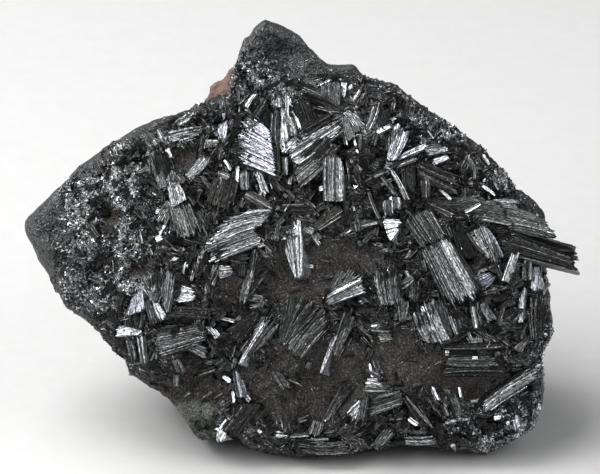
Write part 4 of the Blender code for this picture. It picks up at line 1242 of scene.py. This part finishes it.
# %% Scatter the grains
def scatter_grains(name, chance, weights, count, smallest, largest, tones, tone_shares):
    """Grains on the ore's own points, chosen by weight."""
    chosen = chance.choice(len(rough_slab), size=count, p=weights / weights.sum())
    size = smallest + (largest - smallest) * chance.random(count) ** SIZE_BIAS
    size *= 0.5 + 0.5 * np.clip(facing[chosen] / 0.4, 0.0, 1.0)  # finer towards the rim
    # Grains in the brighter clusters get brighter colours, painted glints.
    cluster = np.exp(1.0 + GLINT_CLUSTER_CONTRAST * (soft_noise(rough_slab[chosen], GLINT_CLUSTER_SIZE, 41.0) - 0.25))
    patches = soft_noise(rough_slab[chosen], PATCH_SIZE, 29.0)
    strength = np.clip(cluster, 0.3, 3.5) * np.clip(0.95 + PATCH_CONTRAST * patches, 0.35, 1.5)
    strength *= 1.0 + LEFT_BRIGHTENING * np.clip((LEFT_BRIGHTENING_EDGE - rough_slab[chosen, 0]) / 10.0, 0.0, 1.0)
    places = rough_slab[chosen] + SCATTER * chance.normal(size=(count, 3))
    return grains_at(name, chance, places, normals[chosen], size, tones, tone_shares, strength)


CRUST_GRAINS, GROUND_GRAINS = 46000, 10000
CRUST_SIZES, GROUND_SIZES = (0.14, 0.85), (0.10, 0.42)  # mm, the smallest and the largest grain
# The silver and white tones of the crust, the ground grains and the plate specks are painted glints.
CRUST_TONES, CRUST_SHARES = ("black", "dark", "grey", "blue", "silver", "white"), (12, 24, 22, 20, 14, 8)
GROUND_TONES, GROUND_SHARES = ("black", "dark", "grey", "silver", "white"), (44, 38, 12, 4, 2)
grain_chance = np.random.default_rng(5)
crust_weights = (crust**1.5 + 0.03 * plain * on_face) * np.clip(facing / 0.35, 0.2, 1.0)
crust_grains = scatter_grains(
    "crust_grains", grain_chance, crust_weights, CRUST_GRAINS, *CRUST_SIZES, CRUST_TONES, CRUST_SHARES)
ground_weights = plain * on_face + 0.12 * soot
ground_grains = scatter_grains(
    "ground_grains", grain_chance, ground_weights, GROUND_GRAINS, *GROUND_SIZES, GROUND_TONES, GROUND_SHARES)

# %% [markdown]
# ## Specks on the plates
# The plates aren't clean. Grains have settled on them, more near their roots than near their ends, and the
# far end of the bright lozenge is thick with them. They lie on the plates' own planes.

# %% Specks
SPECKS_A_SQUARE = 5.0  # on each square mm of a plate
SPECK_REACH = 0.85  # share of a plate's length up to which they lie
SPECK_SIZES = (0.08, 0.40)  # mm
SPECK_SHARES = (40, 30, 15, 9, 6)
LOZENGE_SPECKS = 110
LOZENGE_RISE = 0.05  # mm that those specks stand higher
SPECKLED = (248.0, 131.0, 9.0, 15.0)  # picture points: middle, half width and half height of that end
speck_chance = random.Random(3)
speck_places, speck_outward = [], []
for name, corners in plate_corners.items():
    root, outward = plate_planes[name]
    breadth = ((corners[1] - corners[0]).length + (corners[3] - corners[2]).length) / 2.0
    length = (corners[2] + corners[3] - corners[0] - corners[1]).length / 2.0
    for _ in range(round(breadth * length * SPECKS_A_SQUARE)):
        side, share = speck_chance.uniform(0.1, 0.9), SPECK_REACH * speck_chance.random() ** 1.4
        place = corners[0].lerp(corners[1], side).lerp(corners[2].lerp(corners[3], side), share)
        place.y = plane_depth(root, outward, place)
        speck_places.append(place)
        speck_outward.append(outward)
root, outward = plate_planes["silver_lozenge"]
for _ in range(LOZENGE_SPECKS):
    turn, far = speck_chance.uniform(0.0, math.tau), speck_chance.random() ** 0.5
    place = on_face_at(SPECKLED[0] + SPECKLED[2] * far * math.cos(turn),
                       SPECKLED[1] + SPECKLED[3] * far * math.sin(turn))
    place.y = plane_depth(root, outward, place) - LOZENGE_RISE
    speck_places.append(place)
    speck_outward.append(outward)
speck_sizes = grain_chance.random(len(speck_places)) ** 2.0
speck_sizes = SPECK_SIZES[0] + (SPECK_SIZES[1] - SPECK_SIZES[0]) * speck_sizes
plate_specks = grains_at(
    "plate_specks", grain_chance, np.array(speck_places), np.array(speck_outward), speck_sizes,
    GROUND_TONES, SPECK_SHARES, np.ones(len(speck_places)))

# %% [markdown]
# ## Needles of the ground
# The ground between the plates isn't gravel but matted needles, which lie side by side bunch by bunch. A
# needle is the same pyramid drawn out long. All needles of a bunch share one direction and one tone, and
# each is a little lighter or darker than the next, so the bunches read as fine dark stripes.

# %% Place the needles
NEEDLES = 42000
NEEDLE_BUNCH = 2.3  # mm across
NEEDLE_LENGTHS = (0.7, 2.4)  # mm
NEEDLE_WIDTHS = (0.08, 0.20)
NEEDLE_TONES = ("black", "dark", "brown", "moss", "grey")
NEEDLE_SHARES = (16, 36, 18, 20, 10)
NEEDLE_CONTRAST = 0.8
NEEDLE_GLOSS = (0.26, 0.2)  # roughness of the glossiest, and how much more the dullest has
LIT_SALT, TONE_SALT = 31.0, 53.0  # pick which way the bunches' faces turn, and their tones
FLATTEN = 0.75  # share of a needle's direction out of the ore that is taken away
NEEDLE_RISE = 0.10  # mm that a needle stands in front of the ore
BARE_RIM = (0.28, 0.2)  # how far inside the rim needles begin, and how wide that border is
needle_chance = np.random.default_rng(29)
weights = (plain + 0.12 * crust + 0.03 * soot) * on_face
weights *= np.clip((facing - BARE_RIM[0]) / BARE_RIM[1], 0.0, 1.0)
weights *= np.clip(-1.5 * normals[:, 1] - 0.2, 0.0, 1.0)  # only where the ore faces forward
chosen = needle_chance.choice(len(rough_slab), size=NEEDLES, p=weights / weights.sum())
places, outward = rough_slab[chosen], normals[chosen]
way = bunches(places, NEEDLE_BUNCH, HEADING_SALT) * (1.0, 0.3, 1.0)
way = unit(way + 0.05 * needle_chance.normal(size=(NEEDLES, 3)))
way = unit(way - FLATTEN * outward * (way * outward).sum(axis=1, keepdims=True))
lit = bunches(places, NEEDLE_BUNCH, LIT_SALT) + (0.0, -0.7, 0.0)
lit = lit + 0.12 * needle_chance.normal(size=(NEEDLES, 3))
length = NEEDLE_LENGTHS[0] + (NEEDLE_LENGTHS[1] - NEEDLE_LENGTHS[0]) * needle_chance.random(NEEDLES) ** 1.6
width = NEEDLE_WIDTHS[0] + (NEEDLE_WIDTHS[1] - NEEDLE_WIDTHS[0]) * needle_chance.random(NEEDLES)
local = crystal_points[None] * np.column_stack((width, 1.3 * width, length / CRYSTAL_DEPTH))[:, None]
needle_points = np.einsum("nij,nkj->nki", frames(way, lit), local)
needle_points += (places + outward * NEEDLE_RISE + way * (0.25 * length)[:, None])[:, None]

# %% Colour the needles
bunch_tone = (bunches(places, NEEDLE_BUNCH, TONE_SALT)[:, 0] + 0.5) * sum(NEEDLE_SHARES)
picked = np.minimum(np.searchsorted(np.cumsum(NEEDLE_SHARES), bunch_tone), len(NEEDLE_TONES) - 1)
needle_colours = np.array([FINISHES_WITH_PAINTED_LIGHT[tone][0] for tone in NEEDLE_TONES])[picked]
needle_colours *= np.exp(NEEDLE_CONTRAST * needle_chance.normal(size=NEEDLES))[:, None]
needle_gloss = NEEDLE_GLOSS[0] + NEEDLE_GLOSS[1] * needle_chance.random(NEEDLES)
needle_across = local[..., 0] + np.arange(NEEDLES)[:, None]
needles = mesh_of_copies(
    "ground_needles", needle_points, crystal_faces, np.minimum(needle_colours, 0.9), needle_gloss,
    needle_across, local[..., 2])

# %% [markdown]
# ## Finish of the blades and grains, with painted light
# Pyrolusite has a metallic lustre, so the shader is mostly metallic, and its colour comes from each
# lath's attribute. The stripes are noise on the lath's UV map, stretched along it: they tilt the light a
# little, the way fine growth lines do, and their colour paints the light and shade of those lines. Painted
# streaks of light and shade, a fine grit of dust with painted glints of tiny steps, and a patchy tarnish
# lie over them.

# %% Blade metal
# The grit is dust, and its bright specks are painted glints of tiny steps.
GRIT_SIZE = 0.26  # mm, specks of dust and tiny steps on every surface
DUST_AND_GLINT_STOPS = [(0.36, 0.2), (0.5, 0.8), (0.64, 2.6)]
PAINTED_STRIPE_LIGHT_STOPS = [(0.36, 0.2), (0.5, 0.8), (0.62, 1.5)]
STRIPE_SCALE = (5.5, 0.9, 1.0)  # stripes in a mm across the lath, and along it
STREAK_SCALE = (9.0, 1.5, 1.0)
TARNISH_SIZE = 1.6  # mm
STRIPE_SHARE, STREAK_SHARE, GRIT_SHARE, TARNISH_SHARE = 0.85, 0.75, 0.25, 0.6  # how strong each is
BLADE_METALLIC = 0.65


def add_lines(tree, coords, scale, detail, roughness):
    """Noise that is drawn out along the laths."""
    line_map = add_node(tree, "Mapping")
    line_map.inputs["Scale"].default_value = scale
    join(tree, coords, "UV", line_map, "Vector")
    lines = add_node(tree, "TexNoise", {"Scale": 1.0, "Detail": detail, "Roughness": roughness})
    join(tree, line_map, "Vector", lines, "Vector")
    return lines


blade_metal, tree, shader = new_material("blade_metal")
coords = add_node(tree, "TexCoord")
own_colour = add_node(tree, "Attribute", attribute_name="blade_colour")
own_gloss = add_node(tree, "Attribute", attribute_name="blade_roughness")
stripes = add_lines(tree, coords, STRIPE_SCALE, 4.0, 0.65)
streaks = add_lines(tree, coords, STREAK_SCALE, 1.0, 0.5)
grit = add_noise(tree, coords, GRIT_SIZE, 1.0)
tarnish = add_noise(tree, coords, TARNISH_SIZE)
# The stripes' colour paints the light and shade of the growth lines, the streaks paint short streaks of light
# and shade, and the grit adds dust with painted glints.
painted_stripe_light = add_ramp(tree, stripes, "Fac", PAINTED_STRIPE_LIGHT_STOPS)
painted_streak_light = add_ramp(tree, streaks, "Fac", DUST_AND_GLINT_STOPS)
grit_tone = add_ramp(tree, grit, "Fac", DUST_AND_GLINT_STOPS)
tarnish_tone = add_ramp(tree, tarnish, "Fac", [(0.35, (0.52, 0.52, 0.51)), (0.6, (1.0, 1.0, 1.0))])
striped = add_mix(tree, STRIPE_SHARE, None, own_colour, "Color", painted_stripe_light, "Color", "MULTIPLY")
streaked = add_mix(tree, STREAK_SHARE, None, striped, RESULT, painted_streak_light, "Color", "MULTIPLY")
gritty = add_mix(tree, GRIT_SHARE, None, streaked, RESULT, grit_tone, "Color", "MULTIPLY")
worn = add_mix(tree, TARNISH_SHARE, None, gritty, RESULT, tarnish_tone, "Color", "MULTIPLY")
join(tree, worn, RESULT, shader, "Base Color")
shader.inputs["Metallic"].default_value = BLADE_METALLIC

# %% Gloss and growth lines of the blades
rougher = add_node(tree, "Math", {1: 0.35}, operation="MULTIPLY")
join(tree, tarnish, "Fac", rougher, 0)
tarnished = add_node(tree, "Math", operation="ADD")
join(tree, rougher, "Value", tarnished, 0)
join(tree, own_gloss, "Fac", tarnished, 1)
roughness = add_node(tree, "Math", {1: 0.12}, operation="SUBTRACT")
join(tree, tarnished, "Value", roughness, 0)
join(tree, roughness, "Value", shader, "Roughness")
ridges = add_node(tree, "Bump", {"Strength": 0.5, "Distance": 0.00005})
join(tree, stripes, "Fac", ridges, "Height")
join(tree, ridges, "Normal", shader, "Normal")
for piece in (main_sprays, strips, small_sprays, crust_grains, ground_grains, plate_specks, needles):
    piece.data.materials.append(blade_metal)
print("blade metal has", len(tree.nodes), "nodes")

# %% [markdown]
# ## Finish of the ore
# One material covers the ore and mixes five looks by the zones. Soot is brown-black and swallows light,
# crust glitters because each of its tiny cells mirrors another way, and its brightest cells and clusters
# are painted glints, the broken ore between them is steel black, the smooth tips are a dull dark grey,
# and the two ledges near the foot are a pale greenish grey.

# %% Patterns of the ore
ORE_PATCH, ORE_GLINT_CLUSTER, ORE_SPECK, ORE_CELL = 4.0, 1.3, 0.35, 0.30  # mm
ore_finish, tree, shader = new_material("ore_finish")
coords = add_node(tree, "TexCoord")
zones = {}
for zone in ("crust", "soot", "smooth", "pale"):
    zones[zone] = add_node(tree, "Attribute", attribute_name=zone)
patches = add_noise(tree, coords, ORE_PATCH, 5.0, 0.6)
glint_clusters = add_noise(tree, coords, ORE_GLINT_CLUSTER, 3.0, 0.6)
specks = add_noise(tree, coords, ORE_SPECK, 2.0)
cells = add_cells(tree, coords, ORE_CELL)
cell_random = add_node(tree, "SeparateColor")
join(tree, cells, "Color", cell_random, "Color")

# %% Ore colours
broken_tone = add_ramp(tree, patches, "Fac", [(0.3, (0.022, 0.022, 0.022)), (0.7, (0.080, 0.081, 0.081))])
# The crust's cells run from black to bluish white; the brightest of them, and the brighter clusters over
# them, are painted glints.
crust_tone_with_glints = add_ramp(tree, cell_random, "Red", [(0.0, (0.03, 0.03, 0.032)), (0.45, (0.10, 0.102, 0.108)),
                                                 (0.75, (0.32, 0.33, 0.36)), (0.94, (0.80, 0.83, 0.90))])
painted_glint_clusters = add_ramp(tree, glint_clusters, "Fac", [(0.36, 0.2), (0.5, 1.0), (0.64, 2.6)])
crust_tone_with_glints = add_mix(tree, 1.0, None, crust_tone_with_glints, "Color", painted_glint_clusters, "Color", "MULTIPLY")
soot_tone = add_ramp(tree, specks, "Fac", [(0.3, (0.022, 0.020, 0.0185)), (0.62, (0.048, 0.044, 0.0415)),
                                           (0.72, (0.16, 0.15, 0.14))])
smooth_tone = add_ramp(tree, patches, "Fac", [(0.3, (0.050, 0.051, 0.053)), (0.7, (0.100, 0.103, 0.106))])
pale_tone = add_ramp(tree, patches, "Fac", [(0.3, (0.06, 0.065, 0.055)), (0.7, (0.17, 0.18, 0.155))])
tone = add_mix(tree, zones["crust"], "Fac", broken_tone, "Color", crust_tone_with_glints, RESULT)
tone = add_mix(tree, zones["smooth"], "Fac", tone, RESULT, smooth_tone, "Color")
tone = add_mix(tree, zones["soot"], "Fac", tone, RESULT, soot_tone, "Color")
tone = add_mix(tree, zones["pale"], "Fac", tone, RESULT, pale_tone, "Color")
# The grit is dust, with painted glints of tiny steps.
grit = add_noise(tree, coords, GRIT_SIZE, 1.0)
grit_tone = add_ramp(tree, grit, "Fac", DUST_AND_GLINT_STOPS)
tone = add_mix(tree, 0.65, None, tone, RESULT, grit_tone, "Color", "MULTIPLY")
join(tree, tone, RESULT, shader, "Base Color")


# %% Ore gloss
def add_range(tree, zone, at_none, at_full):
    """A value that goes from at_none to at_full as a zone goes from 0 to 1."""
    made = add_node(tree, "MapRange", {"From Max": 1.0, "To Min": at_none, "To Max": at_full})
    join(tree, zone, "Fac", made, "Value")
    return made


def add_bump(tree, source, socket, strength, height_mm):
    made = add_node(tree, "Bump", {"Strength": strength, "Distance": height_mm * MM})
    join(tree, source, socket, made, "Height")
    return made


dullness = add_range(tree, zones["soot"], 0.34, 0.95)
dusty = add_node(tree, "Math", {1: 0.22}, operation="MULTIPLY_ADD")
join(tree, zones["smooth"], "Fac", dusty, 0)
join(tree, dullness, "Result", dusty, 2)
join(tree, dusty, "Value", shader, "Roughness")
metal_share = add_range(tree, zones["soot"], 0.6, 0.0)
join(tree, metal_share, "Result", shader, "Metallic")
cell_bump = add_bump(tree, cells, "Distance", 0.6, 0.2)
speck_bump = add_bump(tree, specks, "Fac", 0.4, 0.12)
join(tree, cell_bump, "Normal", speck_bump, "Normal")

# %% Ore glitter
own_way = add_node(tree, "VectorMath", {1: (0.5, 0.5, 0.5)}, operation="SUBTRACT")
join(tree, cells, "Color", own_way, 0)
glitter_share = add_range(tree, zones["crust"], 0.25, 1.1)
glitter_tilt = add_node(tree, "VectorMath", operation="SCALE")
join(tree, own_way, "Vector", glitter_tilt, 0)
join(tree, glitter_share, "Result", glitter_tilt, "Scale")
tilted = add_node(tree, "VectorMath", operation="ADD")
join(tree, speck_bump, "Normal", tilted, 0)
join(tree, glitter_tilt, "Vector", tilted, 1)
glitter = add_node(tree, "VectorMath", operation="NORMALIZE")
join(tree, tilted, "Vector", glitter, 0)
join(tree, glitter, "Vector", shader, "Normal")
print("ore finish has", len(tree.nodes), "nodes")

# %% [markdown]
# ## The ore in place
# The finished slab leans back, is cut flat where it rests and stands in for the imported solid.

# %% Lean and cut the ore
CUT_REACH = 1e-7  # metres within which a point counts as lying on the table
ore.data.transform(FACE_TO_WORLD)
start_alone()
bpy.context.view_layer.objects.active = ore
ore.select_set(True)
bpy.ops.object.mode_set(mode="EDIT")
bpy.ops.mesh.select_all(action="SELECT")
bpy.ops.mesh.bisect(plane_co=(0.0, 0.0, 0.0), plane_no=(0.0, 0.0, 1.0), clear_inner=True, use_fill=True,
                    threshold=CUT_REACH)
bpy.ops.object.mode_set(mode="OBJECT")
ore.data.materials.clear()
ore.data.materials.append(ore_finish)
start_alone()
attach(ore, "root")
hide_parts("ore_body")
print("ore:", len(ore.data.polygons), "faces")

# %% [markdown]
# ## Host rock
# The lump behind the upper left edge is another rock, reddish brown and earthy. It starts as a ball too,
# gets the lump's own radii and a broken, grainy surface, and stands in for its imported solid.

# %% Model the host rock
HOST_ROCK_CENTRE = (-10.2, 9.0, 56.5)  # u, d, w in mm
HOST_ROCK_RADII = (5.7, 7.0, 7.6)
start_alone()
bpy.ops.mesh.primitive_ico_sphere_add(subdivisions=6, radius=1.0, location=(0.0, 0.0, 0.0))
host_rock = bpy.context.object
host_rock.name = "host_rock_lump"
knob = np.array([point.co.normalized() for point in host_rock.data.vertices])
rough = 1.0 + 0.16 * soft_noise(knob, 1.0 / 1.7) + 0.08 * soft_noise(knob, 1.0 / 4.0)
rough += 0.10 * facet_noise(knob, 0.34) + 0.05 * facet_noise(knob + 9.0, 0.13)
rough += 0.015 * soft_noise(knob, 0.05)
lump = np.array(HOST_ROCK_CENTRE) + knob * np.array(HOST_ROCK_RADII) * rough[:, None]
host_rock.data.vertices.foreach_set("co", lump.ravel())
host_rock.data.transform(FACE_TO_WORLD)
host_rock.data.update()
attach(host_rock, "root")
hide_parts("host_rock")
print("host rock:", len(host_rock.data.polygons), "faces")

# %% Host rock finish
ROCK_BAND, ROCK_GRIT = 3.2, 0.4  # mm
rock_finish, tree, shader = new_material("host_rock_finish")
coords = add_node(tree, "TexCoord")
bands = add_noise(tree, coords, ROCK_BAND, 5.0, 0.6)
grit = add_noise(tree, coords, ROCK_GRIT, 3.0)
rock_tone = add_ramp(tree, bands, "Fac", [(0.30, (0.075, 0.055, 0.046)), (0.48, (0.165, 0.105, 0.090)),
                                          (0.66, (0.26, 0.165, 0.145))])
grit_tone = add_ramp(tree, grit, "Fac", [(0.3, 0.5), (0.7, 1.1)])
gritty = add_mix(tree, 0.7, None, rock_tone, "Color", grit_tone, "Color", "MULTIPLY")
join(tree, gritty, RESULT, shader, "Base Color")
shader.inputs["Roughness"].default_value = 0.9
grit_bump = add_bump(tree, grit, "Fac", 0.6, 0.2)
join(tree, grit_bump, "Normal", shader, "Normal")
host_rock.data.materials.clear()
host_rock.data.materials.append(rock_finish)
print("host rock finish has", len(tree.nodes), "nodes")

# %% [markdown]
# ## Light
# Soft light comes from a large lamp above and to the left, which leaves a soft shadow on the table to
# the right. A second large lamp in front on the left wakes the blades up, a weaker one in front on the
# right lightens the shadows, and a pale world fills the rest.

# %% Lamps and world
LAMP_AIM = (0.0, 0.0, 0.025)  # metres, the point that every lamp faces
WORLD_COLOUR = (0.95, 0.97, 1.0, 1.0)
WORLD_STRENGTH = 0.20


def add_lamp(name, place, size, power):
    """A square lamp: place and size in metres, power in watts."""
    start_alone()
    bpy.ops.object.light_add(type="AREA", location=place)
    lamp = bpy.context.object
    lamp.name = name
    lamp.data.shape = "SQUARE"
    lamp.data.size = size
    lamp.data.energy = power
    lamp.rotation_euler = (Vector(LAMP_AIM) - Vector(place)).to_track_quat("-Z", "Y").to_euler()


add_lamp("key_lamp", (-0.25, 0.04, 0.48), 0.44, 3.7)
add_lamp("front_lamp", (-0.49, -0.44, 0.56), 0.50, 2.9)
add_lamp("side_lamp", (0.46, -0.28, 0.42), 0.50, 1.2)
world = bpy.data.worlds.new("studio")
bpy.context.scene.world = world
world.use_nodes = True
world.node_tree.nodes["Background"].inputs["Color"].default_value = WORLD_COLOUR
world.node_tree.nodes["Background"].inputs["Strength"].default_value = WORLD_STRENGTH
bpy.context.scene.view_settings.view_transform = "Standard"
